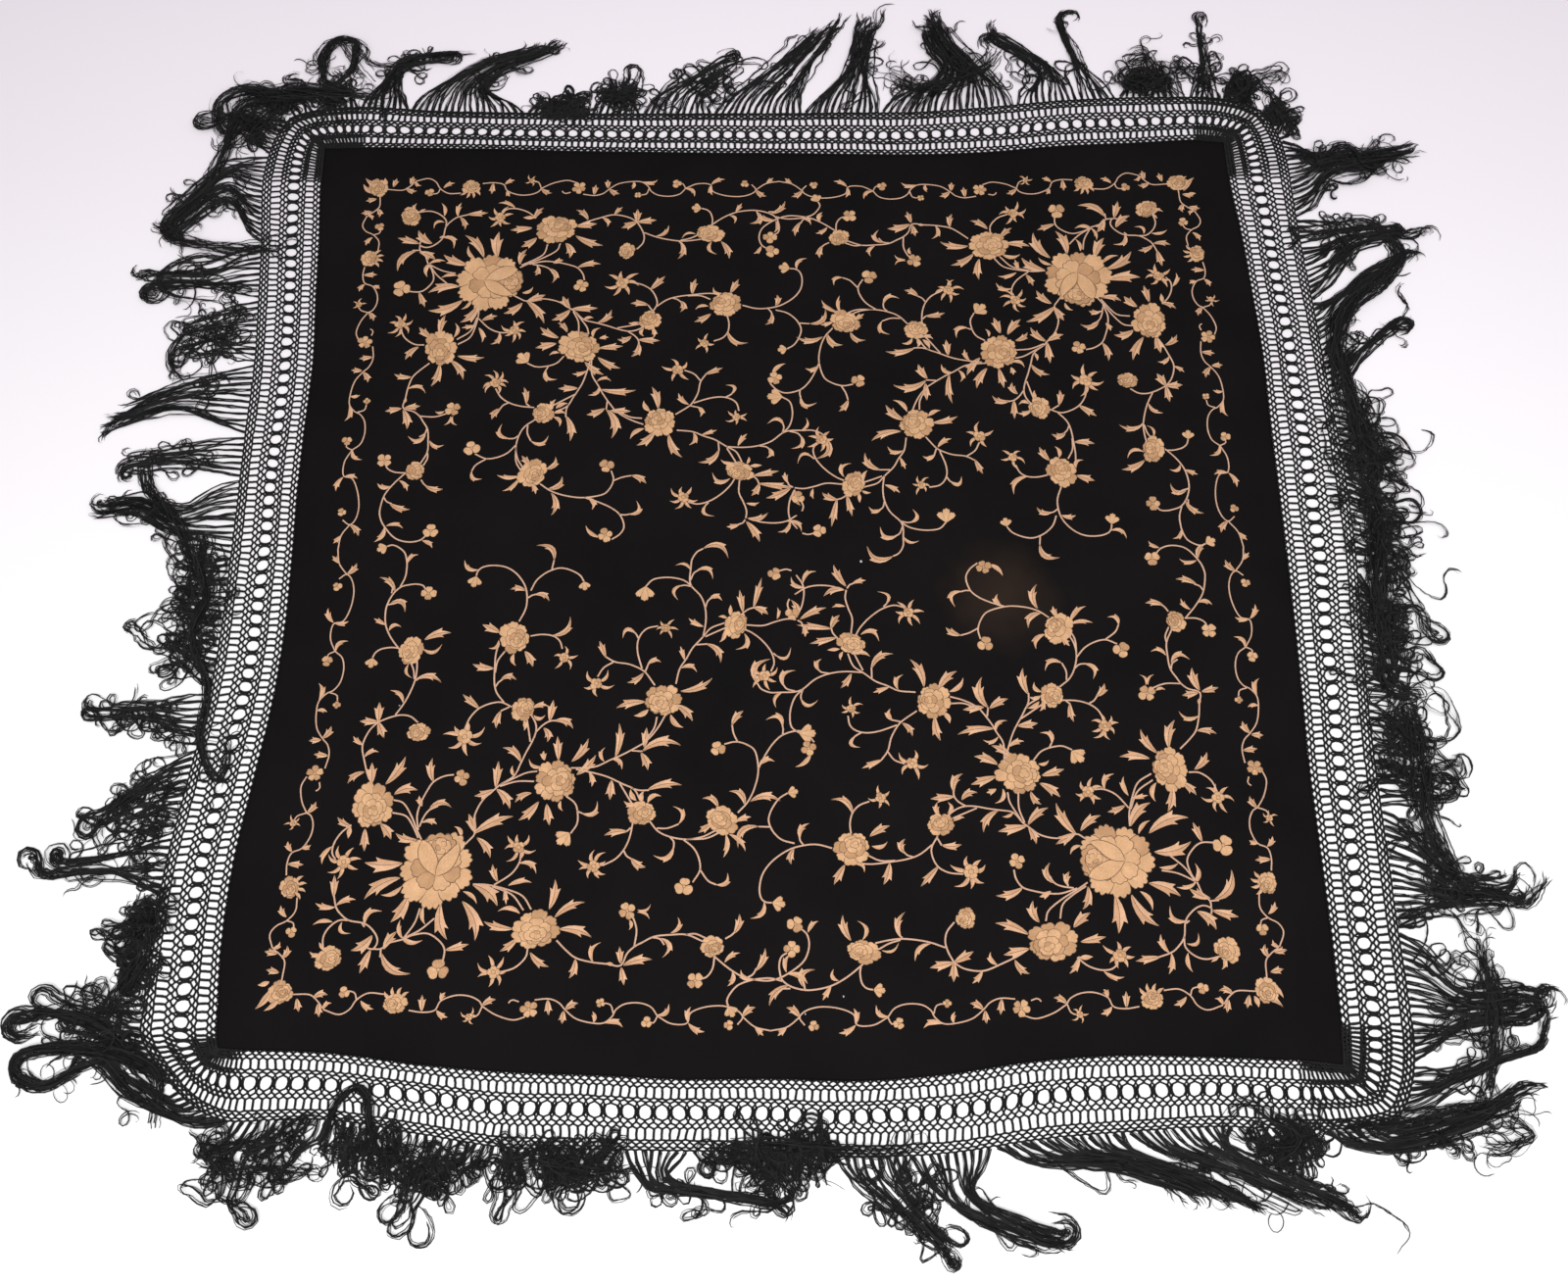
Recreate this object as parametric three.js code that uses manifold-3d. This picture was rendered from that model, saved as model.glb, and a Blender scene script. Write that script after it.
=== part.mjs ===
// A square silk shawl, embroidered and fringed, laid flat.
// Millimetres. X runs to the right, Y to the back and Z up, and the cloth's underside is at Z = 0.
// The silk, the four bands of knotted net round it and the fringe of each band are pieces of their own.
import * as THREE from "three";
import { mergeVertices } from "three/addons/utils/BufferGeometryUtils.js";
import Module from "manifold-3d";

const wasm = await Module();
wasm.setup();

// Named sizes
const clothStep = 60; // the step of the silk's edge, and of the grid of its creases
const netStep = 75; // the step of the net's outer edge and of the strip
const halfSquare = 650; // half of a side of the even square that each side is measured from
const clothWall = 1.2; // the silk with its hem
const netWall = 1.8; // a knot of the net
const stripWall = 1.8; // the last row of knots, where the fringe starts
const stripWide = 4;
const seam = 0.35; // the space between two pieces
const rootIn = 2.75; // how far inside the strip a lock starts
const rootWide = 4;
const rootHigh = 1.2;
const tipShare = 0.45; // a lock's width at its tip, as a share of the width before it
const lockShare = 0.76; // how much of a tuft's width its locks fill
const lockSteps = 3;
const slimLock = 2.5;
const broadLock = 22;
const fanStart = 600; // where a band begins to fan out to its corner
const fanEnd = 700; // the place along a side that stands for the corner's diagonal
const fanSteps = [0.12, 0.3, 0.5, 0.7, 0.87, 1]; // places in a fan, as shares of it
const mostReach = 92; // the farthest that the corner's arc is drawn out
const eyesAcross = 64; // the largest gaps of a band's straight part
const fanEyes = 2; // the gaps cut in each half of a corner's fan
const eyeHalf = 5.4; // half the length of a large gap, along the band
const fanEyeHalf = 4.2;
const eyeInner = 0.37; // where the large gaps begin and end, as shares of the band's width
const eyeOuter = 0.55;
const lift = 0.3; // the locks lie this far over the floor

// Each side has its own frame. along runs to the right of someone who stands outside that side
// and faces the silk, and out runs away from the silk. Each side is the last one's quarter turn.
// cloth and net are how far the silk's edge and the net's outer edge stand out from the square.
const sides = [
  {
    name: "front",
    turn: 0,
    edge: [
      { along: -600, cloth: -26, net: 54 },
      { along: -500, cloth: -22, net: 52 },
      { along: -400, cloth: -9, net: 67 },
      { along: -300, cloth: 0, net: 83 },
      { along: -200, cloth: 4, net: 86 },
      { along: -100, cloth: 9, net: 88 },
      { along: 0, cloth: 9, net: 91 },
      { along: 100, cloth: 12, net: 96 },
      { along: 200, cloth: 5, net: 92 },
      { along: 300, cloth: -9, net: 78 },
      { along: 400, cloth: -15, net: 70 },
      { along: 500, cloth: -13, net: 65 },
      { along: 600, cloth: -9, net: 69 },
    ],
  },
  {
    name: "right",
    turn: 1,
    edge: [
      { along: -600, cloth: 3, net: 86 },
      { along: -500, cloth: 4, net: 85 },
      { along: -400, cloth: 3, net: 85 },
      { along: -300, cloth: 2, net: 85 },
      { along: -200, cloth: 4, net: 87 },
      { along: -100, cloth: 6, net: 92 },
      { along: 0, cloth: 7, net: 98 },
      { along: 100, cloth: 7, net: 99 },
      { along: 200, cloth: 7, net: 96 },
      { along: 300, cloth: 8, net: 91 },
      { along: 400, cloth: 4, net: 87 },
      { along: 500, cloth: -1, net: 82 },
      { along: 600, cloth: -9, net: 80 },
    ],
  },
  {
    name: "back",
    turn: 2,
    edge: [
      { along: -600, cloth: 18, net: 98 },
      { along: -500, cloth: 12, net: 97 },
      { along: -400, cloth: 7, net: 91 },
      { along: -300, cloth: -3, net: 80 },
      { along: -200, cloth: -7, net: 72 },
      { along: -100, cloth: -6, net: 71 },
      { along: 0, cloth: -4, net: 70 },
      { along: 100, cloth: -3, net: 70 },
      { along: 200, cloth: -1, net: 70 },
      { along: 300, cloth: 1, net: 71 },
      { along: 400, cloth: 5, net: 73 },
      { along: 500, cloth: 7, net: 76 },
      { along: 600, cloth: 9, net: 84 },
    ],
  },
  {
    name: "left",
    turn: 3,
    edge: [
      { along: -600, cloth: 3, net: 88 },
      { along: -500, cloth: -6, net: 77 },
      { along: -400, cloth: -13, net: 68 },
      { along: -300, cloth: -21, net: 60 },
      { along: -200, cloth: -22, net: 58 },
      { along: -100, cloth: -24, net: 55 },
      { along: 0, cloth: -29, net: 52 },
      { along: 100, cloth: -32, net: 50 },
      { along: 200, cloth: -29, net: 53 },
      { along: 300, cloth: -19, net: 63 },
      { along: 400, cloth: -9, net: 73 },
      { along: 500, cloth: -8, net: 76 },
      { along: 600, cloth: -15, net: 73 },
    ],
  },
];

// The corner between each side and the next: the silk's corner and the net's corner.
const corners = [
  { clothX: 650, clothY: -647, netX: 707, netY: -704 },
  { clothX: 640, clothY: 664, netX: 700, netY: 722 },
  { clothX: -655, clothY: 658, netX: -712, netY: 713 },
  { clothX: -630, clothY: -622, netX: -674, netY: -666 },
];

// Tufts of the fringe. from and to: the places along the side where the roots begin and end.
// Each point of the path gives the tuft's middle and its width there. high: its height.
const tufts = {
  front: [
    { from: -676, to: -612, locks: 4, high: 8, path: [
      { along: -712, out: 24, wide: 36 },
      { along: -775, out: -24, wide: 28 },
      { along: -838, out: -18, wide: 30 },
    ] },
    { from: -600, to: -500, locks: 5, high: 13, path: [
      { along: -580, out: 86, wide: 126 },
      { along: -588, out: 128, wide: 84 },
    ] },
    { from: -486, to: -440, locks: 2, high: 6, path: [
      { along: -464, out: 80, wide: 48 },
      { along: -462, out: 104, wide: 40 },
    ] },
    { from: -426, to: -312, locks: 5, high: 10, path: [
      { along: -372, out: 106, wide: 112 },
      { along: -361, out: 164, wide: 62 },
    ] },
    { from: -296, to: -165, locks: 6, high: 10, path: [
      { along: -236, out: 104, wide: 138 },
      { along: -232, out: 134, wide: 134 },
    ] },
    { from: -154, to: -96, locks: 3, high: 6, path: [
      { along: -124, out: 120, wide: 28 },
      { along: -62, out: 133, wide: 17 },
      { along: 2, out: 144, wide: 14 },
    ] },
    { from: -80, to: 64, locks: 5, high: 8, path: [
      { along: -6, out: 105, wide: 130 },
      { along: 2, out: 117, wide: 120 },
    ] },
    { from: 82, to: 146, locks: 3, high: 7, path: [
      { along: 132, out: 128, wide: 50 },
      { along: 186, out: 184, wide: 24 },
    ] },
    { from: 162, to: 240, locks: 4, high: 10, path: [
      { along: 214, out: 142, wide: 44 },
      { along: 298, out: 184, wide: 46 },
    ] },
    { from: 254, to: 380, locks: 5, high: 9, path: [
      { along: 396, out: 103, wide: 34 },
      { along: 500, out: 142, wide: 42 },
      { along: 596, out: 200, wide: 34 },
    ] },
    { from: 412, to: 500, locks: 4, high: 9, path: [
      { along: 502, out: 98, wide: 38 },
      { along: 572, out: 132, wide: 44 },
      { along: 628, out: 156, wide: 40 },
    ] },
    { from: 540, to: 600, locks: 2, high: 6, path: [
      { along: 582, out: 84, wide: 46 },
      { along: 592, out: 102, wide: 38 },
    ] },
    { from: 616, to: 686, locks: 3, high: 10, path: [
      { along: 706, out: 80, wide: 28 },
      { along: 790, out: 58, wide: 40 },
      { along: 858, out: 26, wide: 40 },
    ] },
  ],
  right: [
    { from: -690, to: -644, locks: 3, high: 12, path: [
      { along: -664, out: 124, wide: 28 },
      { along: -646, out: 172, wide: 34 },
      { along: -630, out: 222, wide: 24 },
    ] },
    { from: -630, to: -500, locks: 5, high: 12, path: [
      { along: -582, out: 146, wide: 86 },
      { along: -578, out: 212, wide: 84 },
    ] },
    { from: -484, to: -352, locks: 5, high: 11, path: [
      { along: -444, out: 154, wide: 76 },
      { along: -448, out: 208, wide: 50 },
    ] },
    { from: -338, to: -212, locks: 5, high: 11, path: [
      { along: -286, out: 128, wide: 122 },
      { along: -292, out: 162, wide: 112 },
    ] },
    { from: -198, to: -34, locks: 7, high: 12, path: [
      { along: -126, out: 110, wide: 168 },
      { along: -138, out: 140, wide: 162 },
    ] },
    { from: -16, to: 232, locks: 9, high: 12, path: [
      { along: 94, out: 122, wide: 254 },
      { along: 78, out: 153, wide: 248 },
    ] },
    { from: 246, to: 290, locks: 2, high: 6, path: [
      { along: 300, out: 136, wide: 34 },
      { along: 356, out: 200, wide: 30 },
    ] },
    { from: 306, to: 374, locks: 4, high: 10, path: [
      { along: 374, out: 114, wide: 36 },
      { along: 426, out: 166, wide: 36 },
      { along: 456, out: 224, wide: 36 },
    ] },
    { from: 402, to: 520, locks: 5, high: 9, path: [
      { along: 494, out: 148, wide: 64 },
      { along: 504, out: 206, wide: 46 },
    ] },
    { from: 538, to: 640, locks: 4, high: 13, path: [
      { along: 618, out: 128, wide: 66 },
      { along: 628, out: 190, wide: 58 },
      { along: 642, out: 246, wide: 26 },
    ] },
    { from: 654, to: 690, locks: 2, high: 6, path: [
      { along: 704, out: 72, wide: 20 },
      { along: 740, out: 80, wide: 18 },
    ] },
  ],
  back: [
    { from: -690, to: -640, locks: 3, high: 9, path: [
      { along: -674, out: 112, wide: 40 },
      { along: -690, out: 134, wide: 40 },
    ] },
    { from: -626, to: -604, locks: 2, high: 5, path: [
      { along: -624, out: 152, wide: 20 },
      { along: -622, out: 222, wide: 15 },
    ] },
    { from: -590, to: -502, locks: 4, high: 16, path: [
      { along: -546, out: 118, wide: 88 },
      { along: -542, out: 156, wide: 62 },
    ] },
    { from: -486, to: -444, locks: 2, high: 5, path: [
      { along: -432, out: 172, wide: 20 },
      { along: -416, out: 240, wide: 24 },
    ] },
    { from: -430, to: -352, locks: 4, high: 8, path: [
      { along: -388, out: 146, wide: 46 },
      { along: -322, out: 204, wide: 36 },
    ] },
    { from: -338, to: -150, locks: 8, high: 12, path: [
      { along: -264, out: 144, wide: 100 },
      { along: -238, out: 192, wide: 74 },
      { along: -226, out: 230, wide: 56 },
    ] },
    { from: -138, to: -42, locks: 3, high: 9, path: [
      { along: -112, out: 152, wide: 52 },
      { along: -124, out: 218, wide: 46 },
    ] },
    { from: -28, to: 88, locks: 5, high: 6, path: [
      { along: 2, out: 124, wide: 92 },
      { along: -48, out: 196, wide: 66 },
      { along: -98, out: 264, wide: 22 },
    ] },
    { from: 102, to: 200, locks: 4, high: 6, path: [
      { along: 136, out: 110, wide: 90 },
      { along: 80, out: 156, wide: 70 },
    ] },
    { from: 212, to: 264, locks: 3, high: 5, path: [
      { along: 236, out: 100, wide: 46 },
      { along: 226, out: 132, wide: 42 },
    ] },
    { from: 298, to: 330, locks: 2, high: 4, path: [
      { along: 313, out: 82, wide: 30 },
      { along: 308, out: 94, wide: 26 },
    ] },
    { from: 402, to: 528, locks: 5, high: 8, path: [
      { along: 442, out: 118, wide: 66 },
      { along: 360, out: 162, wide: 50 },
      { along: 286, out: 246, wide: 40 },
    ] },
    { from: 544, to: 600, locks: 3, high: 12, path: [
      { along: 562, out: 126, wide: 44 },
      { along: 514, out: 168, wide: 44 },
    ] },
    { from: 614, to: 652, locks: 3, high: 5, path: [
      { along: 636, out: 142, wide: 40 },
      { along: 664, out: 196, wide: 36 },
    ] },
    { from: 664, to: 690, locks: 2, high: 7, path: [
      { along: 714, out: 88, wide: 18 },
      { along: 748, out: 92, wide: 18 },
    ] },
  ],
  left: [
    { from: -690, to: -640, locks: 3, high: 13, path: [
      { along: -702, out: 112, wide: 44 },
      { along: -700, out: 158, wide: 62 },
    ] },
    { from: -620, to: -504, locks: 5, high: 9, path: [
      { along: -590, out: 138, wide: 100 },
      { along: -528, out: 198, wide: 66 },
    ] },
    { from: -488, to: -402, locks: 4, high: 8, path: [
      { along: -432, out: 142, wide: 62 },
      { along: -430, out: 198, wide: 60 },
    ] },
    { from: -388, to: -304, locks: 3, high: 5, path: [
      { along: -340, out: 118, wide: 74 },
      { along: -326, out: 158, wide: 62 },
    ] },
    { from: -290, to: -190, locks: 4, high: 8, path: [
      { along: -240, out: 150, wide: 74 },
      { along: -216, out: 214, wide: 44 },
      { along: -188, out: 264, wide: 26 },
    ] },
    { from: -178, to: -124, locks: 3, high: 6, path: [
      { along: -150, out: 138, wide: 40 },
      { along: -140, out: 200, wide: 36 },
    ] },
    { from: -112, to: -10, locks: 4, high: 9, path: [
      { along: -54, out: 128, wide: 62 },
      { along: -76, out: 178, wide: 48 },
      { along: -72, out: 222, wide: 32 },
    ] },
    { from: 6, to: 178, locks: 7, high: 8, path: [
      { along: 84, out: 82, wide: 170 },
      { along: 72, out: 108, wide: 162 },
    ] },
    { from: 192, to: 248, locks: 3, high: 9, path: [
      { along: 213, out: 124, wide: 42 },
      { along: 216, out: 186, wide: 42 },
    ] },
    { from: 262, to: 340, locks: 4, high: 6, path: [
      { along: 318, out: 112, wide: 66 },
      { along: 346, out: 154, wide: 46 },
    ] },
    { from: 354, to: 440, locks: 4, high: 9, path: [
      { along: 402, out: 132, wide: 62 },
      { along: 410, out: 194, wide: 40 },
    ] },
    { from: 454, to: 508, locks: 3, high: 12, path: [
      { along: 480, out: 86, wide: 54 },
      { along: 484, out: 104, wide: 42 },
    ] },
    { from: 520, to: 552, locks: 2, high: 4, path: [
      { along: 534, out: 88, wide: 30 },
      { along: 534, out: 98, wide: 26 },
    ] },
    { from: 562, to: 640, locks: 4, high: 13, path: [
      { along: 588, out: 108, wide: 52 },
      { along: 574, out: 168, wide: 56 },
    ] },
  ],
};

// Soft ridges of the silk as it lies, each from one place to another.
const creases = [
  { x0: 130, y0: -240, x1: 330, y1: -40, high: 1.3, wide: 34 },
  { x0: 260, y0: -250, x1: 430, y1: -90, high: 1.0, wide: 30 },
  { x0: 60, y0: 20, x1: 75, y1: -150, high: 0.7, wide: 30 },
  { x0: -560, y0: -560, x1: -430, y1: -540, high: 1.0, wide: 32 },
  { x0: -600, y0: 120, x1: -560, y1: -120, high: 0.8, wide: 36 },
  { x0: 240, y0: 560, x1: 480, y1: 600, high: 0.7, wide: 34 },
];

// A point of a side's frame, as a place on the floor.
function place(side, along, out) {
  const turns = [
    [along, -halfSquare - out],
    [halfSquare + out, along],
    [-along, halfSquare + out],
    [-halfSquare - out, -along],
  ];
  return new THREE.Vector2(...turns[side.turn]);
}

// A smooth line through one column of a side's table.
function smooth(rows, column, along) {
  const last = rows.length - 1;
  const spot = (along - rows[0].along) / (rows[1].along - rows[0].along);
  const i = THREE.MathUtils.clamp(Math.floor(spot), 0, last - 1);
  const at = (k) => rows[THREE.MathUtils.clamp(k, 0, last)][column];
  const t = THREE.MathUtils.clamp(spot - i, 0, 1);
  const rise = (at(i + 1) - at(i - 1)) / 2;
  const nextRise = (at(i + 2) - at(i)) / 2;
  return (2 * t ** 3 - 3 * t ** 2 + 1) * at(i)
    + (t ** 3 - 2 * t ** 2 + t) * rise
    + (3 * t ** 2 - 2 * t ** 3) * at(i + 1)
    + (t ** 3 - t ** 2) * nextRise;
}

// The silk's corner and the net's corner at each end of a side.
function cornerOf(side, right) {
  const row = corners[right ? side.turn : (side.turn + 3) % 4];
  return {
    cloth: new THREE.Vector2(row.clothX, row.clothY),
    net: new THREE.Vector2(row.netX, row.netY),
  };
}

// The silk's edge. along runs from -fanEnd to fanEnd, and past fanStart it closes on the corner.
function inner(side, along) {
  if (Math.abs(along) <= fanStart) return place(side, along, smooth(side.edge, "cloth", along));
  const end = Math.sign(along) * fanStart;
  const t = (Math.abs(along) - fanStart) / (fanEnd - fanStart);
  const from = place(side, end, smooth(side.edge, "cloth", end));
  return from.lerp(cornerOf(side, along > 0).cloth, 1 - (1 - t) ** 1.6);
}

// The net's outer edge, which turns the corner in an arc.
function outer(side, along) {
  if (Math.abs(along) <= fanStart) return place(side, along, smooth(side.edge, "net", along));
  const end = Math.sign(along) * fanStart;
  const t = (Math.abs(along) - fanStart) / (fanEnd - fanStart);
  const from = place(side, end, smooth(side.edge, "net", end));
  const corner = cornerOf(side, along > 0);
  const run = place(side, end + Math.sign(along), smooth(side.edge, "net", end)).sub(from);
  const diagonal = corner.net.clone().sub(corner.cloth).normalize();
  const reach = corner.net.clone().sub(from).dot(diagonal) / run.dot(diagonal);
  const bend = from.clone().addScaledVector(run, 0.94 * Math.min(reach, mostReach));
  return from.multiplyScalar((1 - t) ** 2)
    .addScaledVector(bend, 2 * t * (1 - t))
    .addScaledVector(corner.net, t * t);
}

// The way out of the net's outer edge at a place along it.
function outward(side, along) {
  const a = outer(side, Math.max(-fanEnd, along - 2));
  const b = outer(side, Math.min(fanEnd, along + 2));
  const run = b.sub(a).normalize();
  return new THREE.Vector2(run.y, -run.x);
}

// Places along a side: even steps between the fans, and closer ones in each fan.
function stations(step) {
  const fan = fanSteps.map((t) => fanStart + t * (fanEnd - fanStart));
  const middle = [];
  for (let along = -fanStart; along <= fanStart + 1e-6; along += step) middle.push(along);
  return [...fan.map((a) => -a).reverse(), ...middle, ...fan];
}

function meshOf(name, geometry, colour, roughness) {
  const material = new THREE.MeshStandardMaterial({ color: colour, roughness, metalness: 0 });
  const mesh = new THREE.Mesh(geometry, material);
  mesh.name = name;
  return mesh;
}

// A flat plate of the given outline and holes, from z = 0 up.
function plate(outline, holes, wall) {
  const shape = new THREE.Shape(outline);
  shape.holes = holes.map((hole) => new THREE.Path(hole));
  return new THREE.ExtrudeGeometry(shape, { depth: wall, bevelEnabled: false, steps: 1 });
}

// A closed geometry as a solid that can be joined to another, and back again.
function solidOf(geometry) {
  const bare = geometry.clone();
  bare.deleteAttribute("normal");
  bare.deleteAttribute("uv");
  const merged = mergeVertices(bare, 1e-4);
  return new wasm.Manifold(new wasm.Mesh({
    numProp: 3,
    vertProperties: merged.attributes.position.array,
    triVerts: new Uint32Array(merged.index.array),
  }));
}

function geometryOf(solid) {
  const made = solid.getMesh();
  const geometry = new THREE.BufferGeometry();
  geometry.setAttribute("position", new THREE.BufferAttribute(made.vertProperties, 3));
  geometry.setIndex(new THREE.BufferAttribute(made.triVerts, 1));
  return geometry;
}

// The edge of the silk, once round. The net beside it has the same points, so the two never meet.
const fanMiddle = (fanStart + fanEnd) / 2;
const clothStations = stations(clothStep)
  .filter((along) => Math.abs(along) <= fanStart || [fanMiddle, fanEnd].includes(Math.abs(along)));
const clothEdge = sides.map((side) => clothStations.map((along) => inner(side, along)));

function creaseHeight(x, y) {
  let high = 0;
  for (const row of creases) {
    const run = new THREE.Vector2(row.x1 - row.x0, row.y1 - row.y0);
    const long = run.length();
    run.normalize();
    const dx = x - row.x0;
    const dy = y - row.y0;
    const t = THREE.MathUtils.clamp((dx * run.x + dy * run.y) / long, 0, 1);
    const away = Math.hypot(dx - t * long * run.x, dy - t * long * run.y) / row.wide;
    high += row.high * Math.sin(Math.PI * (0.15 + 0.7 * t)) * Math.exp(-away * away);
  }
  return high;
}

// The silk: a patch between its four edges, flat below and softly creased above.
function makeCloth() {
  const [front, right, back, left] = clothEdge;
  const n = front.length - 1;
  const at = (i, j) => {
    const s = i / n;
    const t = j / n;
    const p = front[i].clone().multiplyScalar(1 - t).addScaledVector(back[n - i], t)
      .addScaledVector(left[n - j], 1 - s).addScaledVector(right[j], s);
    return p.addScaledVector(front[0], -(1 - s) * (1 - t)).addScaledVector(front[n], -s * (1 - t))
      .addScaledVector(back[n], -(1 - s) * t).addScaledVector(back[0], -s * t);
  };
  const points = [];
  const faces = [];
  for (let j = 0; j <= n; j++) {
    for (let i = 0; i <= n; i++) {
      const p = at(i, j);
      const rim = i === 0 || j === 0 || i === n || j === n;
      points.push(p.x, p.y, clothWall + (rim ? 0 : creaseHeight(p.x, p.y)));
    }
  }
  const top = (i, j) => j * (n + 1) + i;
  for (let j = 0; j < n; j++) {
    for (let i = 0; i < n; i++) {
      faces.push(top(i, j), top(i + 1, j), top(i + 1, j + 1));
      faces.push(top(i, j), top(i + 1, j + 1), top(i, j + 1));
    }
  }
  const rim = [];
  for (let i = 0; i < n; i++) rim.push(top(i, 0));
  for (let j = 0; j < n; j++) rim.push(top(n, j));
  for (let i = n; i > 0; i--) rim.push(top(i, n));
  for (let j = n; j > 0; j--) rim.push(top(0, j));
  const under = points.length / 3;
  rim.forEach((k) => points.push(points[3 * k], points[3 * k + 1], 0));
  rim.forEach((k, i) => {
    const next = (i + 1) % rim.length;
    faces.push(under + i, under + next, rim[next]);
    faces.push(under + i, rim[next], k);
  });
  const outline = rim.map((k) => new THREE.Vector2(points[3 * k], points[3 * k + 1]));
  for (const [a, b, c] of THREE.ShapeUtils.triangulateShape(outline, [])) {
    faces.push(under + c, under + b, under + a);
  }
  const geometry = new THREE.BufferGeometry();
  geometry.setAttribute("position", new THREE.Float32BufferAttribute(points, 3));
  geometry.setIndex(faces);
  return geometry;
}

// One gap of the net, with six sides: two of them run along the band, at its inner and outer end.
function eye(side, along, halfLong) {
  const half = (eyeOuter - eyeInner) / 2;
  return [-120, -60, 0, 60, 120, 180].map((degrees) => {
    const turn = THREE.MathUtils.degToRad(degrees);
    const at = along + halfLong * Math.cos(turn);
    const share = eyeInner + half + half * Math.sign(Math.round(degrees % 180));
    return inner(side, at).lerp(outer(side, at), share);
  });
}

// A point beside a corner's diagonal, half a seam on this side of it, out from the silk or net.
function atDiagonal(side, right, start, by) {
  const corner = cornerOf(side, right);
  const run = corner.net.clone().sub(corner.cloth).normalize();
  const away = new THREE.Vector2(-run.y, run.x).multiplyScalar(right ? -seam / 2 : seam / 2);
  return corner[start].clone().addScaledVector(run, by).add(away);
}

// A band of the net, between the silk's edge and the fringe, mitred at the corners.
function makeNet(side, k) {
  const edge = clothEdge[k];
  const inside = edge.map((point, i) => {
    if (i === 0 || i === edge.length - 1) return atDiagonal(side, i > 0, "cloth", seam * 1.6);
    const run = edge[i + 1].clone().sub(edge[i - 1]).normalize();
    return point.clone().add(new THREE.Vector2(run.y, -run.x).multiplyScalar(seam));
  });
  const outside = stations(netStep).map((along) => {
    if (Math.abs(along) < fanEnd) return outer(side, along);
    return atDiagonal(side, along > 0, "net", 0);
  });
  const pitch = 2 * fanStart / eyesAcross;
  const fanPitch = (fanEnd - fanStart) / fanEyes;
  const holes = [];
  for (let i = 0; i < eyesAcross; i++) {
    holes.push(eye(side, -fanStart + (i + 0.5) * pitch, eyeHalf));
  }
  for (let i = 0; i < fanEyes; i++) {
    const along = fanStart + (i + 0.42) * fanPitch;
    holes.push(eye(side, along, fanEyeHalf), eye(side, -along, fanEyeHalf));
  }
  return plate([...outside, ...inside.reverse()], holes, netWall);
}

// The line of one lock, from inside the strip to its tip. share: its place in the tuft, 0 to 1.
// The third number of each point is the lock's width there.
function lockLine(side, tuft, share) {
  const root = THREE.MathUtils.lerp(tuft.from, tuft.to, share);
  const start = outer(side, root).addScaledVector(outward(side, root), rootIn);
  const points = [new THREE.Vector3(start.x, start.y, rootWide)];
  const rootsMiddle = { along: (tuft.from + tuft.to) / 2, out: 70 };
  tuft.path.forEach((row, i) => {
    const before = tuft.path[i - 1] ?? rootsMiddle;
    const after = tuft.path[i + 1] ?? row;
    const run = new THREE.Vector2(after.along - before.along, after.out - before.out).normalize();
    const across = row.wide > 100 ? new THREE.Vector2(-1, 0) : new THREE.Vector2(-run.y, run.x);
    const by = (0.5 - share) * row.wide * (1 - 1 / tuft.locks);
    const spot = place(side, row.along + by * across.x, row.out + by * across.y);
    const wide = THREE.MathUtils.clamp(lockShare * row.wide / tuft.locks, slimLock, broadLock);
    points.push(new THREE.Vector3(spot.x, spot.y, wide));
  });
  const curve = new THREE.CatmullRomCurve3(points, false, "centripetal");
  const line = curve.getPoints(lockSteps);
  line[lockSteps].z *= tipShare;
  return line;
}

// One lock of the fringe: a ridge of three sides that swells along its way and ends slim.
function makeLock(side, tuft, share) {
  const line = lockLine(side, tuft, share);
  const root = THREE.MathUtils.lerp(tuft.from, tuft.to, share);
  const points = [];
  line.forEach((p, i) => {
    const run = line[Math.min(i + 1, lockSteps)].clone().sub(line[Math.max(i - 1, 0)]);
    const way = i === 0 ? outward(side, root) : new THREE.Vector2(run.x, run.y).normalize();
    const swell = Math.sin(Math.PI * Math.min(1, 0.12 + 0.8 * i / lockSteps));
    const high = i === 0 ? rootHigh : Math.min(rootHigh + (tuft.high - rootHigh) * swell, 1.1 * p.z);
    points.push(p.x + way.y * p.z / 2, p.y - way.x * p.z / 2, lift);
    points.push(p.x - way.y * p.z / 2, p.y + way.x * p.z / 2, lift);
    points.push(p.x, p.y, lift + high);
  });
  const tip = 3 * lockSteps;
  const faces = [0, 2, 1, tip, tip + 1, tip + 2];
  for (let i = 0; i < lockSteps; i++) {
    for (let s = 0; s < 3; s++) {
      const a = 3 * i + s;
      const b = 3 * i + (s + 1) % 3;
      faces.push(a, b, b + 3, a, b + 3, a + 3);
    }
  }
  const geometry = new THREE.BufferGeometry();
  geometry.setAttribute("position", new THREE.Float32BufferAttribute(points, 3));
  geometry.setIndex(faces);
  return geometry;
}

// The fringe of one side: the strip of its roots, and every lock joined to it.
function makeFringe(side) {
  const line = stations(netStep);
  const shifted = (along, by) => {
    if (Math.abs(along) === fanEnd) return atDiagonal(side, along > 0, "net", 1.15 * by);
    return outer(side, along).addScaledVector(outward(side, along), by);
  };
  const outline = [
    ...line.map((along) => shifted(along, seam + stripWide)),
    ...line.map((along) => shifted(along, seam)).reverse(),
  ];
  let solid = solidOf(plate(outline, [], stripWall));
  for (const tuft of tufts[side.name]) {
    for (let j = 0; j < tuft.locks; j++) {
      solid = solid.add(solidOf(makeLock(side, tuft, j / (tuft.locks - 1))));
    }
  }
  return geometryOf(solid);
}

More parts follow.
